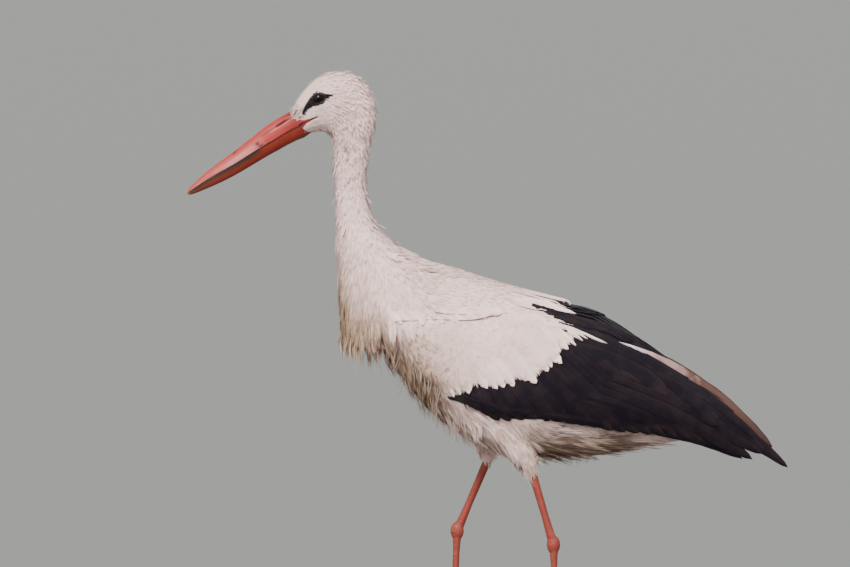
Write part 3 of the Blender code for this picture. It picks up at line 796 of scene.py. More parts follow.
def scattered(seed, wanted, gap_of):
    """Roots on the wanted triangles, at least gap_of(root) apart: (points, normals, UV places)."""
    random = np.random.default_rng(seed)
    a, b, c = (corner_points[:, i] for i in range(3))
    normal = np.cross(b - a, c - a)
    area = np.linalg.norm(normal, axis=1) / 2
    gaps = gap_of(middles)
    weight = np.where(wanted, area / gaps ** 2, 0)
    count = int(3.2 * weight.sum())
    chosen = random.choice(len(area), count, p=weight / weight.sum())
    u, v = random.random((2, count))
    flip = u + v > 1
    u, v = np.where(flip, 1 - u, u), np.where(flip, 1 - v, v)
    mixes = np.stack([1 - u - v, u, v], axis=1)
    places = np.einsum("nk,nkd->nd", mixes, corner_points[chosen])
    uvs = np.einsum("nk,nkd->nd", mixes, skin_uv[triangle_loops[chosen]])
    gaps = gaps[chosen]
    cell, taken, kept = float(gaps.max()), {}, []
    for i, (place, gap) in enumerate(zip(places, gaps)):
        key = tuple((place // cell).astype(int))
        near = (q for x, y, z in NEIGHBOURS
                for q in taken.get((key[0] + x, key[1] + y, key[2] + z), ()))
        if not any((place[0] - q[0]) ** 2 + (place[1] - q[1]) ** 2 + (place[2] - q[2]) ** 2
                   < gap * gap for q in near):
            taken.setdefault(key, []).append(tuple(place))
            kept.append(i)
    kept = np.array(kept)
    return places[kept], unit(normal[chosen[kept]]), uvs[kept]


tri_black = blackness(middles)
tri_length = lie(middles)[1]
on_back = middles[:, 0] > at("trunk", fx=0.30)[0]
on_back &= middles[:, 2] > at("trunk", fz=0.42)[2]
on_tail = middles[:, 0] > at("tail", fx=0.1)[0]
gape_gap = outline_distance(side_view(middles), GAPE)
eye_gap = np.linalg.norm(side_view(middles), axis=1)
GAPE_ASIDE = 0.008  # the gape is only this far out from the bird's middle
bare = (eye_gap < 1.0) | ((gape_gap < 0.04) & (np.abs(middles[:, 1]) > GAPE_ASIDE))

# Coat. Tufts over all the skin, region by region, in places stained cream or brown and in places
# painted darker as shade. A stain or a patch of painted shade is a place in a node's box, its
# reach in metres and its strength.

STAINS_AND_SHADE = (
    # partly a cream stain and partly painted shade under the bib's low end
    ("breast_plumes", 0.4, 0.2, 0.05, 0.05, 1.00),
    ("breast_plumes", 0.30, 0.2, 0.36, 0.034, 0.60),
    ("breast_plumes", 0.15, 0.2, 0.62, 0.04, 0.40),
    ("breast_plumes", 0.1, 0.3, 0.60, 0.03, 0.22),
    # painted shade in the hollow behind the bib's end
    ("breast_plumes", 1.0, 0.2, 0.10, 0.03, 0.70),
    ("neck_lower", 0.4, 0.2, 0.3, 0.04, 0.08),
    ("trunk", 0.24, 0.2, 0.83, 0.025, 0.26),
    ("wing_left_coverts", 0.06, 0.2, 0.45, 0.03, 0.32),
    ("wing_left_coverts", 0.20, 0.2, 0.64, 0.035, 0.15),
    ("wing_left_coverts", 0.35, 0.2, 0.40, 0.040, 0.10),
    # the next two: the breast under the wing's bend, partly a cream stain and partly painted shade
    ("trunk", 0.26, 0.2, 0.36, 0.038, 0.62),
    ("trunk", 0.28, 0.2, 0.30, 0.028, 0.55),
    ("trunk", 0.36, 0.2, 0.06, 0.03, 0.06),
    # painted shadow where the thigh meets the flank
    ("trunk", 0.60, 0.1, 0.14, 0.012, 0.70),
    # the next three: painted shade under the vent and the root of the tail
    ("trunk", 0.68, 0.2, 0.04, 0.022, 1.40),
    ("trunk", 0.82, 0.2, 0.05, 0.024, 1.50),
    ("tail", 0.10, 0.2, 0.10, 0.02, 0.50),
    ("thigh_left", 0.60, 0.2, 0.40, 0.03, 0.30),
    ("head", 0.45, 0.2, 0.15, 0.02, 0.15),
    # the next four: painted shade of the face's relief, behind the eye, on the cheek and under the
    # eye
    ("head", 0.59, 0.1, 0.74, 0.008, 0.22),
    ("head", 0.66, 0.1, 0.48, 0.010, 0.26),
    ("head", 0.52, 0.1, 0.40, 0.008, 0.22),
    ("head", 0.33, 0.1, 0.55, 0.005, 0.20),
    ("head", 0.10, 0.3, 0.52, 0.005, 0.40),
    ("head", 0.44, 0.3, 0.24, 0.006, 0.80),
)
# Places where single feathers are dusky: the side of the upper neck, the throat, the bend of
# the wing, the breast under it and the hem of the bib. Under the vent and behind the bib's end
# they are painted shade, and under the bend and at the hem partly so.
SPECKS_AND_SHADE = (
    ("neck_upper", 0.45, 0.1, 0.90, 0.014, 0.24),
    ("neck_upper", 0.35, 0.2, 0.55, 0.014, 0.05),
    ("head", 0.50, 0.3, 0.02, 0.008, 0.35),
    ("head", 0.43, 0.3, 0.30, 0.005, 0.90),
    ("head", 0.50, 0.3, 0.32, 0.004, 0.90),
    ("head", 0.34, 0.3, 0.28, 0.004, 0.80),
    ("neck_upper", 0.33, 0.2, 0.76, 0.009, 0.30),
    ("head", 0.07, 0.30, 0.56, 0.004, 0.45),
    ("head", 0.13, 0.25, 0.47, 0.003, 0.60),
    ("wing_left_coverts", 0.07, 0.2, 0.62, 0.018, 0.10),
    ("wing_left_coverts", 0.10, 0.2, 0.30, 0.020, 0.16),
    ("trunk", 0.28, 0.14, 0.74, 0.012, 0.06),
    # the breast under the wing's bend: partly dusky feathers, partly painted shade
    ("trunk", 0.27, 0.14, 0.33, 0.030, 0.24),
    ("trunk", 0.36, 0.2, 0.10, 0.045, 0.05),
    # the next two: painted shade under the vent
    ("trunk", 0.68, 0.2, 0.04, 0.022, 1.30),
    ("trunk", 0.82, 0.2, 0.04, 0.026, 1.30),
    # the bib's hem: partly dusky feathers, partly painted shade
    ("breast_plumes", 0.5, 0.2, 0.08, 0.035, 0.30),
    # the next two: painted shade in the hollow behind the bib's end
    ("breast_plumes", 1.03, 0.2, 0.12, 0.013, 1.20),
    ("breast_plumes", 1.06, 0.2, 0.26, 0.006, 1.00),
)
# Places on the face where a few feathers are black.
FRECKLES = (
    ("head", 0.088, 0.30, 0.520, 0.0036, 0.50),
    ("head", 0.110, 0.28, 0.470, 0.0030, 0.60),
    ("head", 0.060, 0.32, 0.480, 0.0026, 0.45),
)
# The crease where the back's feathers end over those of the wing, in shares of the wing's box.
CREASE = ((0.006, 0.890), (0.080, 0.885), (0.178, 0.915), (0.230, 0.925), (0.279, 0.950))
# The front of the folded wing, where its white meets the breast. Single feathers along it are
# painted dusky as the shade between wing and breast.
BEND = ((0.001, 0.880), (0.001, 0.810), (0.011, 0.705), (0.061, 0.500), (0.112, 0.405))
BEND_LINE = WING_LOW[[0, 2]] + np.array(BEND) * WING_SPREAD
# Feathers this near the bend's line are painted dusky as shade.
BEND_WIDTH = 0.0026  # how far from that line single feathers are dusky
BEND_ASIDE = 0.03
FACE_TUFT = 0.0082  # the head's tufts are shorter than this on the face
UNDER_WING = 0.0045  # skin this near to the flight feathers' nodes lies under them


def near_spots(points, spots):
    """How strongly points feel a list of spots, each with its size and strength."""
    total = np.zeros(len(points))
    folded = np.abs(points) * (0, 1, 0) + points * (1, 0, 1)
    for node, fx, fy, fz, size, amount in spots:
        spot = at(node, fx, fy, fz)
        spot[1] = abs(spot[1])
        gap = np.linalg.norm((folded - spot) * (1, 0.4, 1), axis=1) / size
        total += amount * np.exp(-gap * gap)
    return total


def coat(seed, wanted, gap, tuft, rows, lift, free, scale, ragged, trimmed):
    """One region's tufts as a batch list.

    The gap between roots is gap[0] plus gap[1] times the tufts' length. `ragged` is the share of
    tufts that stand proud, and where the region is `trimmed`, no white tuft ends over the black.
    """
    roots, normals, homes = scattered(seed, wanted & ~bare, lambda p: gap[0] + lie(p)[1] * gap[1])
    random = np.random.default_rng(seed + 1)
    count = len(roots)
    ways, lengths, half_widths, depths = lie(roots)
    freckled = random.random(count) < near_spots(roots, FRECKLES)
    above_hem = (roots[:, 2] - bib_hem(roots)) / BIB_LOOSE
    loose = (roots[:, 0] < bib_high.x) & (above_hem < 1) & (above_hem > -0.5)
    normals[loose, 2] *= 0.12
    normals = unit(normals)
    ways = along_surface(ways + random.normal(0, 0.09, (count, 3)), normals)
    lengths = lengths * scale * random.uniform(0.75, 1.15, count)
    depths = depths * random.uniform(0.8, 1.12, count)
    proud = random.random(count) < (ragged(roots) if callable(ragged) else ragged)
    depths = np.where(proud, depths * random.uniform(1.4, 2.9, count), depths)
    lengths = np.where(loose, lengths * (0.55 + 0.45 * np.clip(above_hem, 0, 1)), lengths)
    lengths, depths = lengths * (1 - 0.35 * freckled), depths * (1 + 0.9 * freckled)
    free = np.where(loose, 0.97, free)
    paths = grown_paths(roots, normals, ways, lengths, depths, rows, lift, free)
    points = paths[0]
    clear = np.ones(count, bool)
    for k in range(rows):
        seen = side_view(points[:, k])
        off = outline_distance(seen, GAPE)
        aside = np.abs(points[:, k, 1]) > GAPE_ASIDE
        clear &= ~(((off < 0.03) | (np.linalg.norm(seen, axis=1) < 0.92)) & aside)
    dark = blackness(points[:, int(rows * 0.6)])
    dark = np.where(freckled, 0.95, dark)
    clear &= (dark < 0.5) | (blackness(roots) > 0.5) | (roots[:, 2] > head_low.z)
    if trimmed:
        clear &= blackness(points[:, -1]) < 0.5
    # Painted shade: feathers along the wing's bend are made dusky.
    bend_shade = outline_distance(roots[:, [0, 2]], BEND_LINE, closed=False) < BEND_WIDTH
    bend_shade = bend_shade & (np.abs(roots[:, 1]) > BEND_ASIDE) & (random.random(count) < 0.75)
    dusky = random.random(count) < near_spots(roots, SPECKS_AND_SHADE)
    values = {
        "black": dark,
        "tone": random.random(count),
        "stain_and_shade": np.clip(near_spots(roots, STAINS_AND_SHADE) + random.normal(0, 0.05, count), 0, 1),
        "speck_and_shade": np.where(bend_shade, random.uniform(0.45, 0.95, count),
                          dusky * random.uniform(0.25, 0.8, count)),
    }
    kinds = random.integers(0, KINDS, count)
    return in_kinds(seed, kinds, clear, tuft, paths, half_widths, values, homes)


white_feather = plumage("plumage_white_feather", 0.85, 0.02)
# The border between head and neck wanders up and down, so that it shows no line.
wander = 0.006 * np.sin(middles[:, 1] * 1100) * np.sin(middles[:, 0] * 900)
is_head = middles[:, 2] + wander > at("neck_upper", fz=0.95)[2]
is_head &= middles[:, 0] < head_high.x + 0.004
is_white = tri_black < 0.5
is_face = is_head & (tri_length < FACE_TUFT)
is_neck = ~is_head & (middles[:, 0] < at("trunk", fx=0.16)[0])
is_neck &= middles[:, 2] > at("trunk", fz=0.55)[2]
on_thigh = middles[:, 2] < at("thigh_left", fz=0.75)[2]
under_wing = np.array([black_tree.find_nearest(p)[3] < UNDER_WING for p in middles])
is_white = is_white & ~(under_wing & (middles[:, 2] < at("trunk", fz=0.30)[2]))
is_down = ~is_head & ~is_neck & ~on_back & ~on_tail & is_white & ~on_thigh
is_contour = ~is_head & ~is_neck & ~is_down & is_white & ~on_thigh
near_side = middles[:, 1] < 0


def on_nape(points):
    """How many of the neck's tufts stand proud: more on the nape, few on the throat and back."""
    low, high = at("neck_lower", fz=0.6)[2], at("neck_lower", fz=1.0)[2]
    behind = np.clip((points[:, 0] - at("neck_upper", fx=0.55)[0]) / 0.010, 0.35, 1)
    return 0.01 + 0.22 * behind * np.clip((points[:, 2] - low) / (high - low), 0, 1)


def on_crown(points):
    """How many of the head's tufts stand proud: many behind the crown, few on the throat."""
    low, high = at("head", fz=0.10)[2], at("head", fz=0.45)[2]
    behind = np.clip((points[:, 0] - at("head", fx=0.70)[0]) / 0.010, 0, 1)
    above = np.clip((points[:, 2] - low) / (high - low), 0, 1)
    return 0.06 + 0.28 * np.maximum(behind, above)


def on_belly(points):
    """How many of the body's tufts stand proud: none on the back, some on the breast and belly."""
    return 0.10 * np.clip((at("trunk", fz=0.7)[2] - points[:, 2]) / 0.03, 0, 1)


# Each region is its name and then what coat() needs. Both halves of the back share theirs.
BACK = ((0.0012, 0.065), (8, 1.0, 0.14, 0.10), 5, 1.0, 0.1, 1.0, 0.0, True)
REGIONS = (
    ("coat_face", 11, is_face, (0.0012, 0.06), (5, 0.9, 0.18), 4, 1.15, 0.1, 1.0, 0.22, False),
    ("coat_head", 12, is_head & ~is_face, (0.0015, 0.06), (6, 0.9, 0.15), 4, 1.25, 0.60, 1.0,
     on_crown, False),
    ("coat_neck", 13, is_neck, (0.0013, 0.045), (6, 0.9, 0.15), 5, 1.08, 0.4, 1.0, on_nape, False),
    ("coat_belly", 14, is_down, (0.0018, 0.055), (7, 0.95, 0.13), 6, 1.05, 0.35, 1.0, on_belly,
     True),
    ("coat_thighs", 17, on_thigh & ~is_head & is_white, (0.0012, 0.075), (6, 0.9, 0.13), 5, 1.2,
     0.9, 1.35, 0.25, False),
    ("coat_back_left", 15, is_contour & near_side, *BACK),
    ("coat_back_right", 16, is_contour & ~near_side, *BACK),
)
for name, *region in REGIONS:
    softness = FACE_SOFTNESS if name in ("coat_face", "coat_head") else SOFTNESS
    piece = feather_piece(name, coat(*region), white_feather, softness)

# Wing places. A folded wing is laid out in shares of its box, and each place is found on the
# outer face of the wing by a ray from the bird's side.

wing_trees = {word: tree_of_nodes(["trunk", "breast_plumes", *(n for n in WINGS if word in n)])
              for word in SIDES}


def curve_through(knots, shares):
    """Points at even shares of the length of a line through knots."""
    knots = np.array(knots, float)
    lengths = np.concatenate([[0], np.cumsum(np.linalg.norm(np.diff(knots, axis=0), axis=1))])
    wanted = np.array(shares) * lengths[-1]
    return np.stack([np.interp(wanted, lengths, knots[:, k]) for k in range(knots.shape[1])], 1)


def path_over(tree, corner, spread, axis, outside, guess, jump, lean, evened):
    """A path maker for feathers on a surface, between two places in shares of a box.

    Each point is looked for along the axis, inwards from `outside`. Where nothing is met there, or
    the surface jumps by more than `jump`, its nearest place is taken. The ways out lean by `lean`,
    and `evened` is how often the path's ups and downs are smoothed.
    """
    flat = [0, 3 - axis]
    inward = np.zeros(3)
    inward[axis] = -np.sign(outside)

    def path(root, tip, bow, rows):
        """Points and ways out. `bow` bends the line aside, by a share of its length."""
        start, end = (corner + spread * np.array(p) for p in (root, tip))
        along = end - start
        aside = np.array([-along[1], along[0]]) * bow
        points, outs = np.empty((rows, 3)), np.empty((rows, 3))
        last = None
        for k, share in enumerate(np.linspace(0, 1, rows)):
            place = np.full(3, outside)
            place[flat] = start + along * share + aside * math.sin(math.pi * share)
            hit, normal, _, _ = tree.ray_cast(place, inward)
            if hit is None or (last is not None and abs(hit[axis] - last) > jump):
                place[axis] = guess if last is None else last
                hit, normal, _, _ = tree.find_nearest(place)
                if last is not None:
                    hit = (hit + Vector(place)) / 2
            last = hit[axis]
            place[axis] = last
            points[k] = place
            outs[k] = unit(np.array(normal) + lean)
        for _ in range(evened):
            ups = points[:, axis]
            points[1:-1, axis] = (ups[:-2] + 2 * ups[1:-1] + ups[2:]) / 4
            outs[1:-1] = unit((outs[:-2] + 2 * outs[1:-1] + outs[2:]) / 4)
        return points, outs

    return path


def on_wing(word, evened=3):
    """The path maker for the outer face of one folded wing."""
    side = SIDES[word]
    return path_over(wing_trees[word], WING_LOW[[0, 2]], WING_SPREAD, 1, side * 0.3, side * 0.06,
                     0.03, (0, side * 0.8, 0), evened)


def from_above(tree, corner, spread):
    """The path maker for feathers that lie on a back, in shares of a box seen from above."""
    return path_over(tree, corner, spread, 2, cad_high[2], cad_high[2], 0.02, (0, 0, 1.0), 3)


skin_faces_uv = skin_uv.reshape(-1, 3, 2).mean(1)


def homes_of(points):
    """Places on the skin's unwrap nearest to points."""
    return np.array([skin_faces_uv[skin_tree.find_nearest(p)[2]] for p in points])


def turned_out(obj, angle):
    """Turns all faces outwards and shades the object smooth, but for edges over an angle."""
    build = bmesh.new()
    build.from_mesh(obj.data)
    bmesh.ops.recalc_face_normals(build, faces=build.faces)
    build.to_mesh(obj.data)
    build.free()
    only(obj)
    bpy.ops.object.shade_smooth_by_angle(angle=math.radians(angle))


PLATE_COLUMNS = 11
VANE_HALF = 0.00018  # half of a vane's thickness
SHAFT_HALF = 0.0005  # how much more it is on the shaft


def plate_pattern(rows, columns, blunt, foot, point):
    """A feather's outline: widths of the vane from its root to its tip.

    The tip starts at `blunt` and is round where `point` is 0.5 and sharp where it is 1.
    """
    shares = np.linspace(0, 1, rows)
    shares = 1 - (1 - shares) ** 1.25
    widths = np.minimum(1.0, foot + (1 - foot) * (shares / 0.3) ** 0.7)
    end = np.clip((shares - blunt) / (1 - blunt), 0, 1)
    widths *= np.maximum(1 - end ** 2.0, 0.0) ** point
    return shares, widths, np.linspace(-1, 1, columns)


def plates(name, path, side, rows_of_feathers, material, blunt=0.82, foot=0.5, point=0.5,
           torn=0.03, rows=17):
    """One object of broad feathers: thin closed vanes with a raised shaft, laid on paths.

    `path` gives the points and ways out between a root and a tip, and `side` turns the vane.
    Each feather is (root, tip, bow, half width, lift at the root, lift at the tip, black,
    fringe), with the half width and lifts in millimetres. `torn` is how ragged its edges are.
    """
    columns = PLATE_COLUMNS
    random = np.random.default_rng(len(name) * 7 + len(rows_of_feathers))
    shares, widths, acrosses = plate_pattern(rows, columns, blunt, foot, point)
    points, faces, fields, patches = [], [], [], []
    for root, tip, bow, half_width, lift_root, lift_tip, black, fringe in rows_of_feathers:
        line, outs = path(root, tip, bow, rows)
        ways = unit(np.gradient(line, axis=0))
        across = unit(np.cross(ways, outs)) * side
        outs = unit(np.cross(across, ways)) * side
        line = np.stack([np.interp(shares, np.linspace(0, 1, rows), line[:, k])
                         for k in range(3)], 1)
        home = homes_of(line[[rows // 2]])[0]
        tone = random.random()
        first = len(points)
        edge_wear = random.uniform(-1, 0.4, (rows, 2))
        for face in (1, -1):
            for k in range(rows):
                lift = (lift_root + (lift_tip - lift_root) * shares[k]) / 1000
                for s in acrosses:
                    wear = edge_wear[k, int(s > 0)] * torn * (0.3 + 1.4 * shares[k])
                    ragged = 1 + wear * max(0.0, abs(s) - 0.5) * 2
                    reach = s * half_width / 1000 * widths[k] * ragged
                    shaft = SHAFT_HALF * max(0.0, 1 - abs(s) * 7) * (1 - 0.7 * shares[k])
                    thick = face * (VANE_HALF + shaft)
                    tilt = 0.0009 * s - 0.0012 * s * s
                    points.append(line[k] + across[k] * reach + outs[k] * (lift + thick + tilt))
                    fields.append((shares[k], s, tone, black, fringe, 0.04, 0.0))
                    patches.append(home + np.array([s, (shares[k] - 0.5) * 2]) * SPOT)

        def spot(face, k, c):
            """The number of a point of this feather's upper (0) or lower (1) face."""
            return first + (face * rows + k) * columns + c

        for k in range(rows - 1):
            for c in range(columns - 1):
                faces.append((spot(0, k, c), spot(0, k, c + 1), spot(0, k + 1, c + 1),
                              spot(0, k + 1, c)))
                faces.append((spot(1, k, c), spot(1, k + 1, c), spot(1, k + 1, c + 1),
                              spot(1, k, c + 1)))
        for k in range(rows - 1):
            for c, turn in ((0, 1), (columns - 1, -1)):
                ring = (spot(0, k, c), spot(0, k + 1, c), spot(1, k + 1, c), spot(1, k, c))
                faces.append(ring[::turn])
        for c in range(columns - 1):
            for k, turn in ((0, 1), (rows - 1, -1)):
                ring = (spot(0, k, c), spot(0, k, c + 1), spot(1, k, c + 1), spot(1, k, c))
                faces.append(ring[::turn])
    points = np.clip(np.array(points), np.array(cad_low), np.array(cad_high))
    made = mesh_object(name, points, faces)
    keys = ("along", "across", "tone", "black", "fringe", "stain_and_shade", "speck_and_shade")
    for key, values in zip(keys, np.array(fields).T):
        set_values(made.data, key, values)
    layer = made.data.uv_layers.new(name="OFBake")
    corners = np.empty(len(made.data.loops), np.int32)
    made.data.loops.foreach_get("vertex_index", corners)
    layer.data.foreach_set("uv", np.array(patches)[corners].astype(np.float32).ravel())
    turned_out(made, 70)
    return dressed(made, material)


# Flight feathers. The secondaries fan out under the white coverts, the long inner feathers lie
# over them along the back, and the primaries reach past the tail as the wing's point.

SECONDARY_COUNT = 19
PRIMARY_COUNT = 9
SECONDARY_ROOTS = ((0.165, 0.640), (0.260, 0.690), (0.360, 0.740), (0.450, 0.800))
SECONDARY_TIPS = ((0.222, 0.366), (0.267, 0.302), (0.356, 0.322), (0.470, 0.282), (0.571, 0.240),
                  (0.673, 0.214), (0.780, 0.180))
PRIMARY_ROOTS = ((0.440, 0.400), (0.520, 0.500), (0.600, 0.660))
PRIMARY_TIPS = ((0.800, 0.165), (0.853, 0.098), (0.893, 0.045), (0.940, 0.110), (0.970, 0.060),
                (0.996, 0.012))
# Feathers as plates() takes them, with their ends in shares of the wing's box.
EDGE_FEATHERS = (
    ((0.176, 0.458), (0.218, 0.385), 0.0, 5.0, -2.5, -0.4, 1, 0.1),
    ((0.175, 0.500), (0.250, 0.365), 0.0, 7.5, -2.5, -0.4, 1, 0.1),
    ((0.190, 0.440), (0.300, 0.346), 0.0, 5.5, -1.2, -0.8, 1, 0.1),
    ((0.250, 0.390), (0.440, 0.326), 0.0, 5.5, -1.2, -0.8, 1, 0.1),
    ((0.350, 0.365), (0.590, 0.262), 0.0, 6.0, -1.2, -0.8, 1, 0.1),
    ((0.470, 0.320), (0.730, 0.236), 0.0, 6.0, -1.2, -0.8, 1, 0.1),
    ((0.600, 0.275), (0.830, 0.150), 0.0, 6.0, -1.2, -0.8, 1, 0.1),
)
TERTIALS = (
    ((0.400, 0.750), (0.688, 0.455), 0.05, 17, -3.5, 1.2, 1, 0.55),
    ((0.400, 0.850), (0.815, 0.270), 0.05, 13, -2.0, 1.4, 1, 0.2),
    ((0.410, 0.880), (0.863, 0.310), 0.04, 10, -1.5, 1.6, 1, 0.3),
    ((0.430, 0.900), (0.905, 0.195), 0.040, 9, -1.0, 1.8, 1, 0.1),
    ((0.440, 0.910), (0.930, 0.165), 0.040, 8, -1.0, 1.4, 1, 0.2),
)
# A pale feather along the top of the wing: its grey outer web is partly its own colour and partly a
# painted glint of light.
PALE_STREAK = ((0.562, 0.776), (0.952, 0.135), 0.066, 7.0, 3.9, 3.2, 0, 0.0)
UPPER_TERTIALS = (
    ((0.400, 0.930), (0.590, 0.775), 0.020, 7, 0.0, 3.0, 1, 0.1),
    ((0.345, 1.000), (0.530, 0.835), 0.000, 4.5, 1.2, 3.8, 1, 0.2),
    ((0.400, 0.940), (0.655, 0.700), 0.040, 9, -0.8, 3.0, 1, 0.1),
    ((0.395, 0.955), (0.700, 0.635), 0.042, 8, -0.6, 2.2, 1, 0.1),
    ((0.385, 0.965), (0.715, 0.605), 0.040, 7, -0.6, 1.4, 1, 0.1),
    ((0.370, 0.985), (0.690, 0.635), 0.034, 7, -1.0, 0.6, 1, 0.1),
)


def flight_look():
    """Satin black with a purple sheen, barbs across the vane and brown worn edges."""
    made = Finish("flight_feather", Roughness=0.50, Sheen_Weight=0.015, Sheen_Roughness=0.4,
                  Specular_IOR_Level=0.12)
    along, across = made.value("along"), made.value("across")
    tone, fringe = made.value("tone"), made.value("fringe")
    place = made.place()
    worn = made.noise(place, 60.0, 4.0)
    edge = (across * across) ** 4.0
    brown = (edge * 0.5 * fringe + along.ramp(0.8, 5.0) * fringe * 0.8
             + (worn - 0.52) * 0.7 + tone * 0.18).clipped()
    black = made.mix(brown, (0.0062, 0.0036, 0.0080), (0.044, 0.024, 0.025))
    # The pale feather's colour, whitish at the root and mottled brown beyond, is partly a painted
    # glint.
    pale = made.mix(along.ramp(0.08, 10.0), (0.84, 0.76, 0.86), (0.52, 0.34, 0.33))
    mottled = ((along - 0.10) * 2.7 + (worn - 0.5) * 1.3 + edge * 0.3).clipped()
    pale = made.mix(mottled, pale, (0.098, 0.050, 0.040))
    pale = made.mix(along.ramp(0.72, 4.0), pale, (0.060, 0.032, 0.026))
    made.link("Base_Color", made.mix(made.value("black"), pale, black))
    slope = (across * across + 0.02) ** 0.5
    barbs = (along * 900.0 - slope * 260.0).sine()
    made.bump(barbs * 0.5 + made.noise(place, 300.0, 3.0), 0.00025, 0.35)
    return made.material


def fanned(roots, tips, count, rest_of):
    """Feathers at even places from first to last. `rest_of` gives the rest of each one's row."""
    shares = np.linspace(0, 1, count)
    ends = zip(shares, curve_through(roots, shares), curve_through(tips, shares))
    return [(tuple(root), tuple(tip), *rest_of(share)) for share, root, tip in ends]


flight = flight_look()
random = np.random.default_rng(77)
for word, side in SIDES.items():
    secondaries = fanned(SECONDARY_ROOTS, SECONDARY_TIPS, SECONDARY_COUNT, lambda share: (
        -0.03, 12.0 - share, -3.6 + share * 0.8, -0.7 + share * 0.5, 1,
        0.15 + 0.25 * random.random()))
    primaries = fanned(PRIMARY_ROOTS, PRIMARY_TIPS, PRIMARY_COUNT, lambda share: (
        0.03, 10.5 - 2.5 * share, -1.5 + share * 0.9, -1.2 + share * 1.0, 1,
        0.1 + 0.2 * random.random()))
    wing, evener = on_wing(word), on_wing(word, 24)
    piece = plates(f"{word}_primaries", wing, side, primaries, flight, 0.72, 0.7, 0.6)
    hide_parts(f"wing_{word}_primaries")
    for name, path, rows_of_feathers, shape in (
            ("secondaries", wing, [*EDGE_FEATHERS, *secondaries], (0.66, 0.6, 0.55)),
            ("tertials", wing, [*TERTIALS, *UPPER_TERTIALS], (0.72, 0.7)),
            ("pale_tertial", evener, [PALE_STREAK], (0.72, 0.02, 0.5, 0.14, 21))):
        piece = plates(f"{word}_{name}", path, side, rows_of_feathers, flight, *shape)

# White wing feathers. A row of broad coverts whose soft points make the scalloped edge between
# the white forewing and the black feathers, and the scapulars that end above them.

COVERT_EDGE = ((0.153, 0.455), (0.186, 0.480), (0.216, 0.495), (0.277, 0.519), (0.338, 0.543),
               (0.364, 0.556), (0.370, 0.606), (0.402, 0.632), (0.418, 0.700), (0.438, 0.758),
               (0.446, 0.800), (0.466, 0.812), (0.490, 0.800))
COVERT_COUNT = 26
CREASE_COUNT = 11
SCAPULARS = (
    ((0.300, 1.030), (0.405, 1.000), 0.00, 6.0, -1.0, 2.6, 0, 0.0),
    ((0.310, 1.020), (0.430, 0.975), 0.00, 6.0, -1.0, 3.6, 0, 0.0),
    ((0.330, 1.010), (0.455, 0.942), 0.02, 5.0, -1.0, 4.2, 0, 0.0),
    ((0.260, 0.920), (0.385, 0.905), 0.02, 9.0, -1.0, 1.4, 0, 0.0),
    ((0.290, 0.895), (0.430, 0.865), 0.02, 7.0, -1.0, 1.6, 0, 0.0),
    ((0.330, 0.890), (0.474, 0.838), 0.03, 5.2, -1.0, 1.9, 0, 0.0),
    ((0.360, 0.885), (0.506, 0.804), 0.03, 4.2, -1.0, 2.2, 0, 0.0),
    ((0.390, 0.880), (0.534, 0.770), 0.03, 3.0, -1.0, 2.4, 0, 0.0),
)
# Thin dark plates painted as the shade where the back's feathers end over those of the wing.
CREASE_SHADOWS = (
    ((0.000, 0.902), (0.040, 0.911), 0.02, 1.3, 0.7, 1.4, 0.60, 0.0),
    ((0.034, 0.908), (0.074, 0.919), -0.02, 0.9, 1.0, 1.5, 0.50, 0.0),
    ((0.078, 0.918), (0.150, 0.917), 0.02, 0.6, 1.1, 1.5, 0.30, 0.0),
    ((0.098, 0.965), (0.180, 0.950), -0.03, 0.7, 0.9, 1.4, 0.40, 0.0),
    ((0.160, 0.915), (0.206, 0.921), -0.02, 0.9, 1.2, 1.7, 0.60, 0.0),
    ((0.199, 0.919), (0.240, 0.939), -0.03, 1.0, 1.3, 1.8, 0.72, 0.0),
    ((0.234, 0.938), (0.264, 0.941), 0.03, 0.9, 1.3, 1.9, 0.68, 0.0),
    ((0.258, 0.939), (0.282, 0.961), -0.03, 1.0, 1.4, 1.9, 0.78, 0.0),
)

for word, side in SIDES.items():
    random = np.random.default_rng(500)
    coverts = []
    for i, place in enumerate(curve_through(COVERT_EDGE, np.linspace(0.0, 1.0, COVERT_COUNT))):
        share = i / (COVERT_COUNT - 1)
        lean = math.radians(np.interp(share, (0, 0.45, 0.8, 1.0), (-58, -46, -48, -26)))
        lean += random.normal(0, 0.06)
        way = np.array([math.cos(lean), math.sin(lean)])
        tip = place + random.normal(0, 0.009, 2) * min(1.0, 0.3 + 4 * share)
        reach = random.uniform(0.040, 0.048) * min(1.0, 0.5 + 3.0 * share)
        root = tip - way * reach / WING_SPREAD
        wide = random.uniform(6.8, 9.6) * np.interp(share, (0, 0.12, 0.74, 0.84, 1.0),
                                                    (0.45, 1.0, 0.95, 0.45, 0.30))
        sunk = np.interp(share, (0, 0.15, 0.25), (-3.5, -3.0, -1.2))
        coverts.append((tuple(root), tuple(tip), 0.02, wide, sunk, 1.6, 0, 0.0))
    for i, place in enumerate(curve_through(CREASE, np.linspace(0.05, 1.0, CREASE_COUNT))):
        lean = math.radians(-38 + 2.4 * i) + random.normal(0, 0.08)
        way = np.array([math.cos(lean), math.sin(lean)])
        root = place - way * random.uniform(0.026, 0.034) / WING_SPREAD
        coverts.append((tuple(root), tuple(place), 0.02, random.uniform(5.5, 7.0), -2.0, 1.5, 0,
                        0.0))
    for name, rows_of_feathers, shape in (
            ("coverts", coverts, (0.50, 0.7, 0.68, 0.22, 33)),
            ("scapulars", SCAPULARS, (0.55, 0.7, 0.8, 0.07, 25)),
            ("creases", CREASE_SHADOWS, (0.5, 0.3, 0.8, 0.3))):
        piece = plates(f"{word}_{name}", on_wing(word), side, rows_of_feathers, white_feather,
                       *shape)

# Back and tail. Long black feathers of both wings meet over the rump, the white of the back
# ends over them in points, and the tail's short white feathers show behind and below.

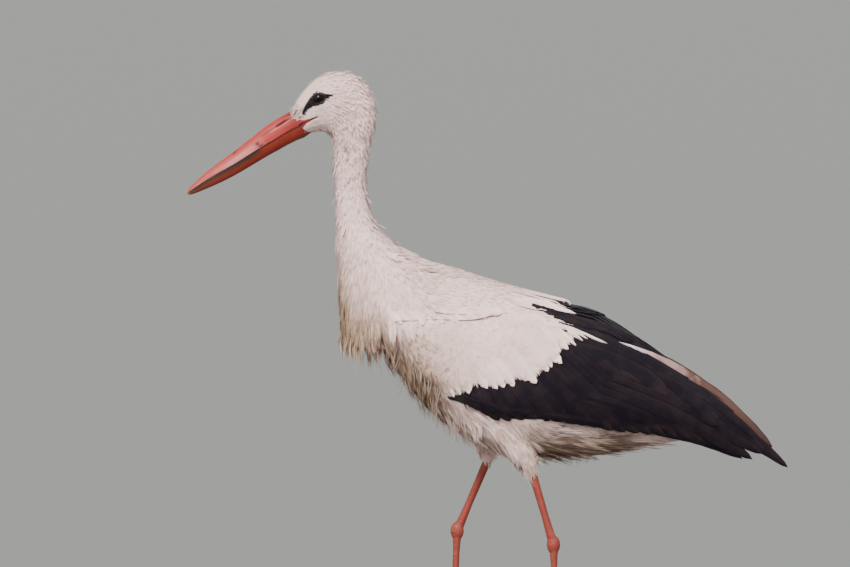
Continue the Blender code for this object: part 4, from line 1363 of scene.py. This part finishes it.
BACK_ROWS = (
    # roots, tips, how many and how far apart sideways, half width in mm, lift at the tip in mm
    (0.600, 0.880, 3, 0.12, 10.0, 0.2),
    (0.500, 0.760, 4, 0.13, 11.0, 0.7),
    (0.420, 0.630, 5, 0.13, 10.0, 1.2),
    (0.350, 0.530, 6, 0.11, 9.0, 1.7),
)
BACK_EDGE = (0.300, 0.440, 7, 0.095, 7.0, 2.4)
TAIL_COUNT = 9

back_path = from_above(tree_of_nodes(["trunk", "tail", *WINGS]), WING_LOW[:2] * (1, 0),
                       (WING_HIGH - WING_LOW)[:2])


def back_row(row, black, random):
    """Feathers of one row, on both sides of the back's middle line."""
    root, tip, count, step, half_width, lift = row
    made = []
    for i in range(count):
        for side in (-1, 1):
            aside = side * step * (i + 0.35)
            narrow = 0.72 if black else 1.0
            ends = ((root, aside), (tip - 0.006 * i + random.normal(0, 0.006), aside * narrow))
            made.append((*ends, 0.0, half_width, -1.5, lift - 0.15 * i, black,
                         0.2 * random.random()))
    return made


random = np.random.default_rng(903)
feathers = [f for row in BACK_ROWS for f in back_row(row, 1, random)]
piece = plates("back_feathers", back_path, 1, feathers, flight, 0.70, 0.7)
piece = plates("back_edge", back_path, 1, back_row(BACK_EDGE, 0, random), white_feather, 0.5, 0.7,
               0.8, 0.10, 25)

tail_low, tail_high = box("tail")
tail_path = from_above(tree_of(nodes["tail"]), np.array([tail_low[0], 0.0]),
                       np.array([tail_high[0] - tail_low[0], tail_high[1]]))
feathers = []
for i in range(TAIL_COUNT):
    aside = 2 * i / (TAIL_COUNT - 1) - 1
    feathers.append(((-0.06, aside * 0.35), (0.975 - 0.05 * aside * aside, aside * 0.72), 0.0, 8.0,
                     -2.5, -1.2 - 1.2 * abs(aside), 0, 0.0))
feathers.sort(key=lambda f: -abs(f[0][1]))
piece = plates("tail_feathers", tail_path, 1, feathers, white_feather, 0.80, 0.7, 0.5)

# Plumes. Long strands that hang in locks from the bib, a few loose hairs that fall clear of them,
# shorter locks on belly, thighs, shoulder and throat, and bristles at the edge of the bill.

STRAND_TUFT = (5, 0.8, 0.12)
STRAND_ROWS = 7
SKIN_CLEAR = 0.0022  # how far the strands keep off the skin
SKIN_REACH = 0.012  # farther from the skin than this they hang free of it
GATHER = 0.75  # how far the strands of a lock draw together
DOWN = (0.0, 0.0, -1.0)
FORWARD = (-0.8, 0.0, -0.6)


def hanging(seed, wanted, gap, low_length, high_length, half_width, sway, outward, lock=0,
            toward=DOWN):
    """A batch list of strands that leave the skin and hang nearly straight down, or `toward`.

    `outward` is how far they stand off at first. With `lock` strands to each lock they draw
    together to a common point.
    """
    roots, normals, homes = scattered(seed, wanted, lambda p: np.full(len(p), gap))
    random = np.random.default_rng(seed)
    count, rows = len(roots), STRAND_ROWS
    first_way = lie(roots)[0] if toward[0] == 0 else np.tile(toward, (count, 1))
    ways = along_surface(first_way, normals)
    heads = np.arange(count)
    if lock:
        heads = random.choice(count, max(1, count // lock), replace=False)
    gaps = np.linalg.norm(roots[:, None] - roots[heads][None], axis=2)
    mine_of = gaps.argmin(1)
    gather = (roots[heads][mine_of] - roots) * (1, 1, 0.3)

    def shared(spread, own):
        """Random numbers that the strands of a lock share, but for a small part of their own."""
        return random.normal(0, spread, len(heads))[mine_of] + random.normal(0, own, count)

    middle, half = (low_length + high_length) / 2, (high_length - low_length) / 2
    lengths = np.clip(middle + half * shared(0.6, 0.2), low_length, high_length)
    swing = np.stack([shared(sway, sway * 0.2) for _ in range(3)], axis=1)
    points, across, out = (np.empty((count, rows, 3)) for _ in range(3))
    place = roots + normals * 0.001
    fall = unit(swing + toward + normals * outward)
    for k in range(rows):
        points[:, k] = place + gather * GATHER * (k / (rows - 1)) ** 1.3
        out[:, k] = normals
        across[:, k] = np.cross(normals, ways)
        ways = unit(ways * 0.6 + fall * 0.4)
        place = place + ways * (lengths / (rows - 1))[:, None]
        near = [skin_tree.find_nearest(p) for p in place]
        skin_points, skin_outs = np.array([n[0] for n in near]), np.array([n[1] for n in near])
        proud = np.sum((place - skin_points) * skin_outs, axis=1)
        near_enough = np.linalg.norm(place - skin_points, axis=1) < SKIN_REACH
        lack = np.where(near_enough, np.maximum(0, SKIN_CLEAR - proud), 0)
        place = place + skin_outs * lack[:, None]
    over_black = (blackness(points[:, 3]) > 0.5) | (blackness(points[:, -1]) > 0.5)
    dusky = random.random(count) < 0.06 + near_spots(roots, SPECKS_AND_SHADE)
    values = {
        "black": np.where(random.random(count) < near_spots(roots, FRECKLES), 0.9, 0.0),
        "tone": random.random(count),
        "stain_and_shade": np.clip(near_spots(roots, STAINS_AND_SHADE) + 0.02 + shared(0.14, 0.06), 0, 1),
        "speck_and_shade": np.clip(dusky * random.uniform(0.2, 0.6, count)
                         + np.maximum(0, shared(0.16, 0.04) - 0.12), 0, 1),
    }
    kinds = random.integers(0, KINDS, count)
    return in_kinds(seed, kinds, ~over_black, STRAND_TUFT, (points, across, out),
                    np.full(count, half_width), values, homes)


def gap_to(place, weights):
    """How far the skin's triangles are from a place, with each axis weighted."""
    return np.linalg.norm((middles - place) * weights, axis=1)


in_bib = (middles[:, 0] < bib_high.x) & (middles[:, 2] < at("breast_plumes", fz=0.70)[2])
in_bib &= middles[:, 2] > bib_low.z - 0.004
bib_front = in_bib & (middles[:, 0] < at("breast_plumes", fx=0.92)[0])
low_bib = bib_front & (middles[:, 2] < at("breast_plumes", fz=0.36)[2])
a, b, c = (corner_points[:, i] for i in range(3))
fore_belly = (middles[:, 0] < at("trunk", fx=0.45)[0]) & ~in_bib & is_down
fore_belly &= middles[:, 0] > at("trunk", fx=0.14)[0]
fore_belly &= unit(np.cross(b - a, c - a))[:, 2] < -0.35
low_thigh = middles[:, 2] < at("thigh_right", fz=0.30)[2]
shoulder = near_side & (gap_to(at("trunk", 0.168, 0.12, 0.680), (1, 0.5, 1)) < 0.0060)
throat = gap_to(at("breast_plumes", 0.12, 0.38, 0.74), (1, 0.5, 1)) < 0.011
bill_edge = gap_to(at("head", 0.075, 0.5, 0.52), (1, 0, 1)) < 0.0075
bill_edge &= (middles[:, 0] < at("head", fx=0.10)[0]) & ~bare
# Seed, where, gap, least and greatest length, half width, sway, how far outward, strands to a lock
# and, where they don't hang down, the way they point.
STRANDS = (
    (31, bib_front, 0.0034, 0.028, 0.046, 0.0026, 0.05, 0.03, 9),
    (32, low_bib, 0.0030, 0.026, 0.050, 0.0022, 0.08, 0.03, 13),
    (33, low_bib, 0.0170, 0.055, 0.080, 0.0010, 0.12, 0.04),
    (34, fore_belly, 0.0042, 0.018, 0.036, 0.0015, 0.16, 0.10, 8),
    (35, low_thigh, 0.0024, 0.012, 0.024, 0.0018, 0.05, 0.02, 6),
    (37, low_bib, 0.0030, 0.016, 0.034, 0.0022, 0.08, 0.02, 10),
    (36, shoulder, 0.0014, 0.038, 0.050, 0.0020, 0.02, 0.30, 34),
    (39, throat, 0.0020, 0.018, 0.030, 0.0016, 0.04, 0.22, 8),
    (38, bill_edge, 0.0012, 0.0035, 0.0065, 0.0007, 0.25, 0.10, 0, FORWARD),
)
strands = [batch for row in STRANDS for batch in hanging(*row)]
piece = feather_piece("plumes", strands, white_feather)

# Eyes. A dark glossy ball in each socket, black in the middle, and lids of bare black skin that
# close on it in the shape of an almond. The lids' places are in eye radii, and each of their rings
# is how far it grows from the rim and how far it stands proud, in metres.

EYE_FIT = 0.985  # the ball's radius, as a share of the solid eye's
EYE_FLAT = 0.96
LID_TURN = 56  # points round the lids
HEAD_SIDE = 0.1  # farther out than any part of the head
EYE_LIDS = ((-1.22, -0.42), (-0.95, 0.30), (-0.45, 0.78), (0.15, 0.90), (0.75, 0.55), (1.28, 0.22),
            (0.95, -0.20), (0.45, -0.62), (-0.15, -0.86), (-0.75, -0.82))
LID_RINGS = ((0.80, 0.00), (0.90, 0.0009), (1.02, 0.0012), (1.22, 0.0004), (1.45, -0.0012))

eye_look = Finish("eye_dark", Roughness=0.10, Specular_IOR_Level=0.16)
eye_look.link("Base_Color", eye_look.mix(eye_look.value("ring").ramp(0.30, 9.0),
                                         (0.001, 0.001, 0.0012), (0.010, 0.0055, 0.004)))
lid_look = Finish("lid_skin", Base_Color=(0.011, 0.010, 0.011, 1.0), Roughness=0.5,
                  Specular_IOR_Level=0.3)
lid_look.bump(lid_look.noise(lid_look.place(), 900.0, 4.0), 0.0003, 0.8)

head_tree = tree_of_nodes(["head", "eye_left", "eye_right", "bill_upper", "bill_lower"])
for word, side in SIDES.items():
    centre = eyes[word]
    bpy.ops.mesh.primitive_uv_sphere_add(segments=48, ring_count=32, radius=EYE_RADIUS * EYE_FIT)
    ball = bpy.context.active_object
    ball.name = f"eyeball_{word}"
    bpy.ops.object.shade_smooth()
    turned = Vector((0, 0, 1)).rotation_difference(Vector((0, side, 0)))
    ball.data.transform(turned.to_matrix().to_4x4())
    shape = points_of(ball.data)
    set_values(ball.data, "ring", np.linalg.norm(shape[:, [0, 2]], axis=1) / EYE_RADIUS)
    shape[:, 1] *= EYE_FLAT
    ball.data.vertices.foreach_set("co", (shape + centre).ravel())
    dressed(ball, eye_look.material)
    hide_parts(f"eye_{word}")

    rim = curve_through((*EYE_LIDS, EYE_LIDS[0]), np.arange(LID_TURN) / LID_TURN)
    for _ in range(2):
        rim = (np.roll(rim, 1, 0) + 2 * rim + np.roll(rim, -1, 0)) / 4
    points, faces = [], []
    for j, (grow, proud) in enumerate(LID_RINGS):
        for t in range(LID_TURN):
            x, z = centre[[0, 2]] + rim[t] * grow * EYE_RADIUS
            hit = head_tree.ray_cast((x, side * HEAD_SIDE, z), (0, -side, 0))[0]
            flat = np.linalg.norm(rim[t] * grow)
            bulge = EYE_RADIUS * math.sqrt(max(0.0, 1 - min(flat, 1.0) ** 2)) * EYE_FLAT
            on_ball = abs(centre[1]) + bulge
            share = min(1.0, max(0.0, (grow - 0.86) / 0.5))
            y = on_ball * (1 - share) + abs(hit.y) * share + proud
            if j == 0:
                y = on_ball - 0.0006
            fold = 0.00025 * math.sin(t * 1.9) * (0.9 < grow < 1.3)
            points.append((x, side * (y + fold), z))
    for j in range(len(LID_RINGS) - 1):
        for t in range(LID_TURN):
            a, b = j * LID_TURN + t, j * LID_TURN + (t + 1) % LID_TURN
            quad = (a, b, b + LID_TURN, a + LID_TURN)
            faces.append(quad if side < 0 else quad[::-1])
    lids = mesh_object(f"lids_{word}", points, faces)
    apply_modifier(lids, "SUBSURF", levels=2, render_levels=2)
    apply_modifier(lids, "SOLIDIFY", thickness=0.0006, offset=-1.0)
    lids.data.shade_smooth()
    dressed(lids, lid_look.material)

# Bill. Two long horny halves taken from the CAD bill by rays towards its middle line, with a
# dark gap between them, a nostril in a groove on each side and fine wear along the horn. The gap,
# the nostrils, the grooves and the root are also painted dark as shade, the lower half is painted
# darker as shade, and a painted highlight lies along the upper half.

BILL_ROWS = 72
BILL_TURN = 33  # points from the mouth to the middle line, on one side
BILL_ROOT = 0.12  # how far it goes on inside the head, as a share of its length
LIPS = 5  # how many points cross the inside of each half
NOSTRIL = (0.065, 0.135)
GROOVE = (0.03, 0.27)
GROOVE_DEPTH = 0.0007
NOSTRIL_DEPTH = 0.0016
MOUTH_GAP = 0.00035
RAY_START = 0.06  # farther out than any part of the bill
# Worn marks on the upper half: a share of the way along and its spread, a share of the way up and
# its spread.
CHIPS = ((0.335, 0.016, 0.38, 0.12), (0.517, 0.02, 0.80, 0.06), (0.320, 0.02, 0.14, 0.06))

bill_trees = {half: tree_of(nodes[f"bill_{half}"]) for half in ("upper", "lower")}
upper_low, upper_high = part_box("bill_upper")
lower_low, lower_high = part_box("bill_lower")
bill_tip = np.array([upper_low.x, 0.0, (upper_low.z + lower_low.z) / 2 + 0.0008])
bill_base = np.array([upper_high.x, 0.0, (upper_high.z + lower_high.z) / 2 - 0.0125])
bill_way = unit(bill_tip - bill_base)
bill_up = np.array([bill_way[2], 0.0, -bill_way[0]])
bill_length = np.linalg.norm(bill_tip - bill_base)


def bill_hit(centre, angle):
    """The first half met by a ray from outside, and how far its face is from the centre."""
    ray = bill_up * math.sin(angle) + np.array([0.0, math.cos(angle), 0.0])
    best = (None, 0.0)
    for half, tree in bill_trees.items():
        hit = tree.ray_cast(tuple(centre + ray * RAY_START), tuple(-ray), RAY_START)[0]
        if hit is not None:
            far = np.linalg.norm(np.array(hit) - centre)
            if far > best[1]:
                best = (half, far)
    return best


bill_rows = []
for share in np.linspace(0.0, 0.994, BILL_ROWS):
    centre = bill_base + bill_way * bill_length * share
    tops, lows = bill_hit(centre, math.pi / 2), bill_hit(centre, -math.pi / 2)
    centre = centre + bill_up * (tops[1] - lows[1]) / 2
    low_angle, high_angle = -1.2, 1.2
    # The mouth is where the rays stop meeting the lower half.
    for _ in range(14):
        middle = (low_angle + high_angle) / 2
        if bill_hit(centre, middle)[0] == "lower":
            low_angle = middle
        else:
            high_angle = middle
    mouth = (low_angle + high_angle) / 2
    rings = {}
    for half, start, end in (("upper", mouth, math.pi / 2), ("lower", mouth, -math.pi / 2)):
        angles = np.linspace(start, end, BILL_TURN)
        radii = np.array([bill_hit(centre, a)[1] for a in angles])
        if (radii == 0).any() and (radii > 0).any():
            radii[radii == 0] = radii[radii > 0].min()
        radii[0] = radii[1]
        rings[half] = (angles, radii)
    bill_rows.append((share, centre, rings))
share, centre, rings = bill_rows[0]
for back in (1, 2, 3):
    inner = {half: (angles, radii * (1 - 0.04 * back)) for half, (angles, radii) in rings.items()}
    bill_rows.insert(0, (share, centre - bill_way * bill_length * BILL_ROOT * back / 3, inner))

horn = Finish("bill_horn", Roughness=0.38, Specular_IOR_Level=0.26, Coat_Weight=0.04,
              Coat_Roughness=0.3)
along, rise, dark, pale = (horn.value(key) for key in ("along", "rise", "dark", "pale"))
streaks = horn.node("ShaderNodeTexNoise", Scale=1.0, Detail=4.0,
                    Vector=horn.node("ShaderNodeCombineXYZ", X=along * 9.0, Y=rise * 42.0,
                                     Z=along * 2.0))
blotch = horn.noise(horn.place(), 120.0, 3.0)
red = horn.mix(streaks.ramp(0.40, 2.6), (0.33, 0.027, 0.023), (0.45, 0.060, 0.050))
red = horn.mix((1.3 - along * 9.0).clipped() * 0.9, red, (0.25, 0.018, 0.014))
# The pale value: a painted highlight along the upper half, and a pale line along the nostril's
# upper edge.
red = horn.mix(pale * (0.70 + (streaks - 0.5) * 1.6).clipped(), red, (0.62, 0.26, 0.23))
# Painted shade: the lower half is a darker, browner copy of the red, as if shaded by the upper
# half, and darker still towards the tip.
shaded_red = horn.mix(streaks.ramp(0.35, 3.0), (0.145, 0.013, 0.006), (0.235, 0.030, 0.015))
shaded_red = horn.mix(along.ramp(0.55, 2.4) * 0.6, shaded_red, (0.085, 0.030, 0.017))
red = horn.mix(horn.value("lower"), red, shaded_red)
# The dark value: worn chips, and painted shade along and inside the mouth, in the nostrils and
# grooves and at the root.
red = horn.mix((dark * (0.8 + (blotch - 0.5) * 1.1)).clipped(), red, (0.030, 0.016, 0.012))
horn.link("Base_Color", horn.mix(along.ramp(0.972, 40.0), red, (0.36, 0.22, 0.13)))
horn.bump(streaks + blotch * 0.3, 0.0007, 0.4)


def band(values, low, high, soft):
    """1 between low and high, falling to 0 over `soft` on either side."""
    return np.clip((values - low) / soft + 1, 0, 1) * np.clip((high - values) / soft + 1, 0, 1)


def bell(value, middle, spread):
    """1 at the middle, falling to 0 on either side."""
    return math.exp(-((value - middle) / spread) ** 2)


for half in ("upper", "lower"):
    points, faces, fields = [], [], []
    for share, centre, rings in bill_rows:
        angles, radii = rings[half]
        loop = [(a, r, k / (BILL_TURN - 1)) for k, (a, r) in enumerate(zip(angles, radii))]
        loop += [(math.pi - a, r, up) for a, r, up in loop[-2::-1]]
        sink = MOUTH_GAP if half == "upper" else -MOUTH_GAP
        row = []
        for angle, radius, rise_here in loop:
            flat = np.array([math.cos(angle) * radius, math.sin(angle) * radius])
            slot = bell(rise_here, 0.60, 0.050) * float(half == "upper")
            groove = slot * band(share, *GROOVE, 0.06) * GROOVE_DEPTH
            hole = slot * band(share, *NOSTRIL, 0.03) * NOSTRIL_DEPTH
            shrink = 1 - (groove + hole) / max(radius, 1e-4)
            flat = flat * max(shrink, 0.3) + np.array([0.0, sink])
            # Painted shade in the nostril and along its groove.
            row.append((flat, rise_here, min(1.0, slot * 1.5 * band(share, *NOSTRIL, 0.025)
                                             + slot * 0.35 * band(share, *GROOVE, 0.05))))
        left, right = row[-1][0], row[0][0]
        for k in range(1, LIPS + 1):
            f = k / (LIPS + 1)
            inner = left * (1 - f) + right * f
            fall = MOUTH_GAP * (2.2 if half == "upper" else 1.4)
            inner = inner - np.array([0.0, fall * math.sin(math.pi * f) ** 0.5])
            # Painted shade inside the mouth.
            row.append((inner, 0.0, 0.8))
        for flat, rise_here, dark_here in row:
            points.append(centre + np.array([0.0, flat[0], 0.0]) + bill_up * flat[1])
            # Painted shade at the root, where the bill goes into the head.
            corner = band(share, 0.0, 0.02, 0.02) * 0.25
            # Painted shade along the line of the mouth, broader on the lower half under the upper's
            # edge; a painted highlight along the upper half; worn chips.
            if half == "upper":
                mouth_line = 0.75 * bell(rise_here, 0.0, 0.07)
                chip = sum(bell(share, a, b) * bell(rise_here, c, d) for a, b, c, d in CHIPS)
                painted_highlight = band(share, 0.42, 0.60, 0.16) + 0.35 * band(share, 0.72, 0.90, 0.10)
                rim = bell(rise_here, 0.515, 0.03) * band(share, 0.05, 0.20, 0.03)
                pale_here = max(painted_highlight * band(rise_here, 0.12, 0.42, 0.2), 0.9 * rim)
            else:
                mouth_line = max(0.9 * bell(rise_here, 0.0, 0.07),
                                 2.4 * bell(rise_here, 0.0, 0.32) * band(share, 0.42, 0.93, 0.12))
                chip, pale_here = 0.0, 0.0
            dark_here = min(1.6, max(dark_here, mouth_line, corner, 1.6 * chip))
            fields.append((share, rise_here, dark_here, pale_here, float(half == "lower")))
    size = 2 * BILL_TURN - 1 + LIPS
    for k in range(len(bill_rows) - 1):
        for c in range(size):
            a, b = k * size + c, k * size + (c + 1) % size
            faces.append((a, b, b + size, a + size))
    faces.append(tuple(range(size)))
    faces.append(tuple(range((len(bill_rows) - 1) * size, len(bill_rows) * size)))
    made = mesh_object(f"bill_horn_{half}", points, faces)
    for key, values in zip(("along", "rise", "dark", "pale", "lower"), np.array(fields).T):
        set_values(made.data, key, values)
    turned_out(made, 60)
    dressed(made, horn.material)
    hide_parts(f"bill_{half}")

# Gape. Bare red skin at the corner of the mouth, parted by the dark line of the mouth, narrows
# to a dark point under the eye. The line of the mouth is painted dark as shade.

GAPE_ROWS = 22
GAPE_TURN = 11
GAPE_RISE = 0.0012
CLEFT_DEPTH = 0.0009
GAPE_SINK = 0.0003  # how far its edge lies under the skin beside it

gape_look = Finish("gape_skin", Roughness=0.45, Specular_IOR_Level=0.35)
gape_red = gape_look.mix(gape_look.noise(gape_look.place(), 420.0, 3.0), (0.27, 0.026, 0.021),
                         (0.37, 0.048, 0.040))
gape_look.link("Base_Color", gape_look.mix(gape_look.value("dark"), gape_red,
                                           (0.014, 0.007, 0.007)))
for word, side in SIDES.items():
    shares = np.linspace(0, 1, GAPE_ROWS)
    tops, lows = curve_through(GAPE_TOP, shares), curve_through(GAPE_LOW, shares)
    points, faces, darks = [], [], []
    for k, (top, low) in enumerate(zip(tops, lows)):
        share = k / (GAPE_ROWS - 1)
        for c in range(GAPE_TURN):
            f = c / (GAPE_TURN - 1)
            x, z = eyes[word][[0, 2]] + (top * (1 - f) + low * f) * EYE_RADIUS
            hit = head_tree.ray_cast((x, side * HEAD_SIDE, z), (0, -side, 0))[0]
            if hit is None or abs(hit.y) < 0.004:
                hit = head_tree.find_nearest((x, side * 0.012, z))[0]
            cleft = bell(f, 0.55, 0.14)
            front = min(1.0, share * 5)
            proud = GAPE_RISE * math.sin(math.pi * f) ** 0.6 * (1 - 0.7 * share)
            proud = (proud - CLEFT_DEPTH * cleft) * front - GAPE_SINK * (1 - front)
            points.append((x, hit.y + side * (proud - GAPE_SINK), z))
            # Painted shade in the mouth's cleft; the rear of the gape darkens towards its point.
            darks.append(min(1.0, max(cleft * 1.1, (share - 0.45) * 3.0)))
    for k in range(GAPE_ROWS - 1):
        for c in range(GAPE_TURN - 1):
            a = k * GAPE_TURN + c
            quad = (a, a + 1, a + GAPE_TURN + 1, a + GAPE_TURN)
            faces.append(quad if side < 0 else quad[::-1])
    fold = mesh_object(f"gape_{word}", points, faces)
    set_values(fold.data, "dark", darks)
    apply_modifier(fold, "SOLIDIFY", thickness=0.0014, offset=-1.0)
    fold.data.shade_smooth()
    dressed(fold, gape_look.material)

# Legs. One scaly red skin from the shin to the toes of each leg, with its own claws.

LEG_GRAIN = 0.0011
TOE_SCUTE = 0.0042  # how long each broad scale is, on top of the toes and up the front of the leg
SHANK_SCUTE = 0.0062
SCUTE_DEPTH = 0.00035
TOES = ("middle", "inner", "outer", "hind")

scales = Finish("leg_scales", Roughness=0.48, Specular_IOR_Level=0.4)
place = scales.place()
cells = scales.node("ShaderNodeTexVoronoi", {"feature": "DISTANCE_TO_EDGE"}, Vector=place,
                    Scale=330.0)
edges = (cells * 9.0).clipped()
dust = scales.noise(place, 45.0, 4.0).ramp(0.5, 4.0)
leg_red = scales.mix(dust, (0.25, 0.034, 0.019), (0.33, 0.088, 0.062))
scute = scales.value("scute")
worn = scales.mix((edges * 0.6 + scute * 0.4).clipped(), (0.16, 0.030, 0.020), leg_red)
scales.link("Base_Color", worn)
scales.bump(edges * 0.5 + scute, 0.0007, 0.7)
claw_look = Finish("claw_horn", Roughness=0.38, Specular_IOR_Level=0.5)
claw_look.link("Base_Color", claw_look.mix(claw_look.noise(claw_look.place(), 260.0, 3.0),
                                           (0.05, 0.032, 0.024), (0.17, 0.11, 0.075)))

for word in SIDES:
    bones = [f"{bone}_{word}" for bone in ("shin", "heel", "tarsus", "foot")]
    toes = [f"toe_{word}_{toe}" for toe in TOES]
    leg = merged_nodes(f"leg_{word}", bones + toes)
    apply_modifier(leg, "REMESH", mode="VOXEL", voxel_size=LEG_GRAIN)
    apply_modifier(leg, "SMOOTH", factor=0.5, iterations=4)
    places, outs = points_of(leg.data), normals_of(leg.data)
    scutes, on_toe = np.zeros(len(places)), np.zeros(len(places), bool)
    for toe in toes:
        low, high = box(toe)
        inside = ((places > low - 0.001) & (places < high + 0.001)).all(1)
        inside &= ~on_toe
        data = points_of(nodes[toe].data)
        middle = data.mean(0)
        way = np.linalg.svd(data - middle, full_matrices=False)[2][0]
        phase = ((places - middle) @ way) / TOE_SCUTE
        top = np.clip(outs[:, 2] * 2.0, 0, 1)
        scutes = np.where(inside, np.abs(np.sin(np.pi * phase)) ** 0.35 * top + (1 - top), scutes)
        on_toe |= inside
    front = np.clip(-outs[:, 0] * 1.8, 0, 1)
    phase = places[:, 2] / SHANK_SCUTE
    scutes = np.where(on_toe, scutes, np.abs(np.sin(np.pi * phase)) ** 0.3 * front + (1 - front))
    places = places - outs * ((1 - scutes) * SCUTE_DEPTH)[:, None]
    leg.data.vertices.foreach_set("co", places.ravel())
    set_values(leg.data, "scute", scutes)
    leg.data.shade_smooth()
    dressed(leg, scales.material)
    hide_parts(*bones, *toes)
    claws = [f"claw_{word}_{toe}" for toe in TOES]
    horny = merged_nodes(f"claws_{word}", claws)
    apply_modifier(horny, "SUBSURF", levels=2, render_levels=2)
    horny.data.shade_smooth()
    dressed(horny, claw_look.material)
    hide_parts(*claws)

# Floor, lights and camera. A pale grey floor that runs far back, a big soft key high on the
# camera's side, a softer fill low on that side and ahead of the bird, and a long lens nearly level.

SENSOR = 36.0
CAMERA_AWAY = 12.0
CAMERA_UP = math.radians(2.2)
FRAME_WIDTH = 1.105  # how wide the view is at the bird, in metres
FRAME_CENTRE = (-0.082, 0.0, 0.558)

bpy.ops.mesh.primitive_plane_add(size=400.0)
floor = bpy.context.active_object
floor.name = "floor"
floor_look = Finish("floor_look", Base_Color=(0.205, 0.215, 0.205, 1.0), Roughness=0.95,
                    Specular_IOR_Level=0.1)
floor.data.materials.append(floor_look.material)


def sun(name, angle, strength, colour, azimuth, height):
    """A soft sun that shines from an azimuth (0 is the camera's side) and a height, in degrees."""
    lamp = bpy.data.lights.new(name, "SUN")
    lamp.energy = strength
    lamp.angle = math.radians(angle)
    lamp.color = colour
    around, up = math.radians(azimuth), math.radians(height)
    source = Vector((math.sin(around) * math.cos(up), -math.cos(around) * math.cos(up),
                     math.sin(up)))
    in_scene(name, lamp).rotation_euler = source.to_track_quat("Z", "Y").to_euler()


sun("key", 22.0, 5.3, (1.0, 0.95, 0.905), -14.0, 41.0)
sun("fill", 70.0, 1.7, (1.0, 0.965, 0.94), -30.0, 3.0)
world = bpy.data.worlds.new("studio")
world.use_nodes = True
sky = world.node_tree.nodes["Background"]
sky.inputs["Color"].default_value = (0.92, 0.96, 1.0, 1.0)
sky.inputs["Strength"].default_value = 0.78
bpy.context.scene.world = world

lens = bpy.data.cameras.new("camera")
lens.sensor_width = SENSOR
lens.lens = SENSOR * CAMERA_AWAY / FRAME_WIDTH
lens.clip_end = 1000.0
camera = in_scene("camera", lens)
camera.location = (FRAME_CENTRE[0], -CAMERA_AWAY * math.cos(CAMERA_UP),
                   FRAME_CENTRE[2] + CAMERA_AWAY * math.sin(CAMERA_UP))
camera.rotation_euler = (math.radians(90) - CAMERA_UP, 0.0, 0.0)
bpy.context.scene.camera = camera
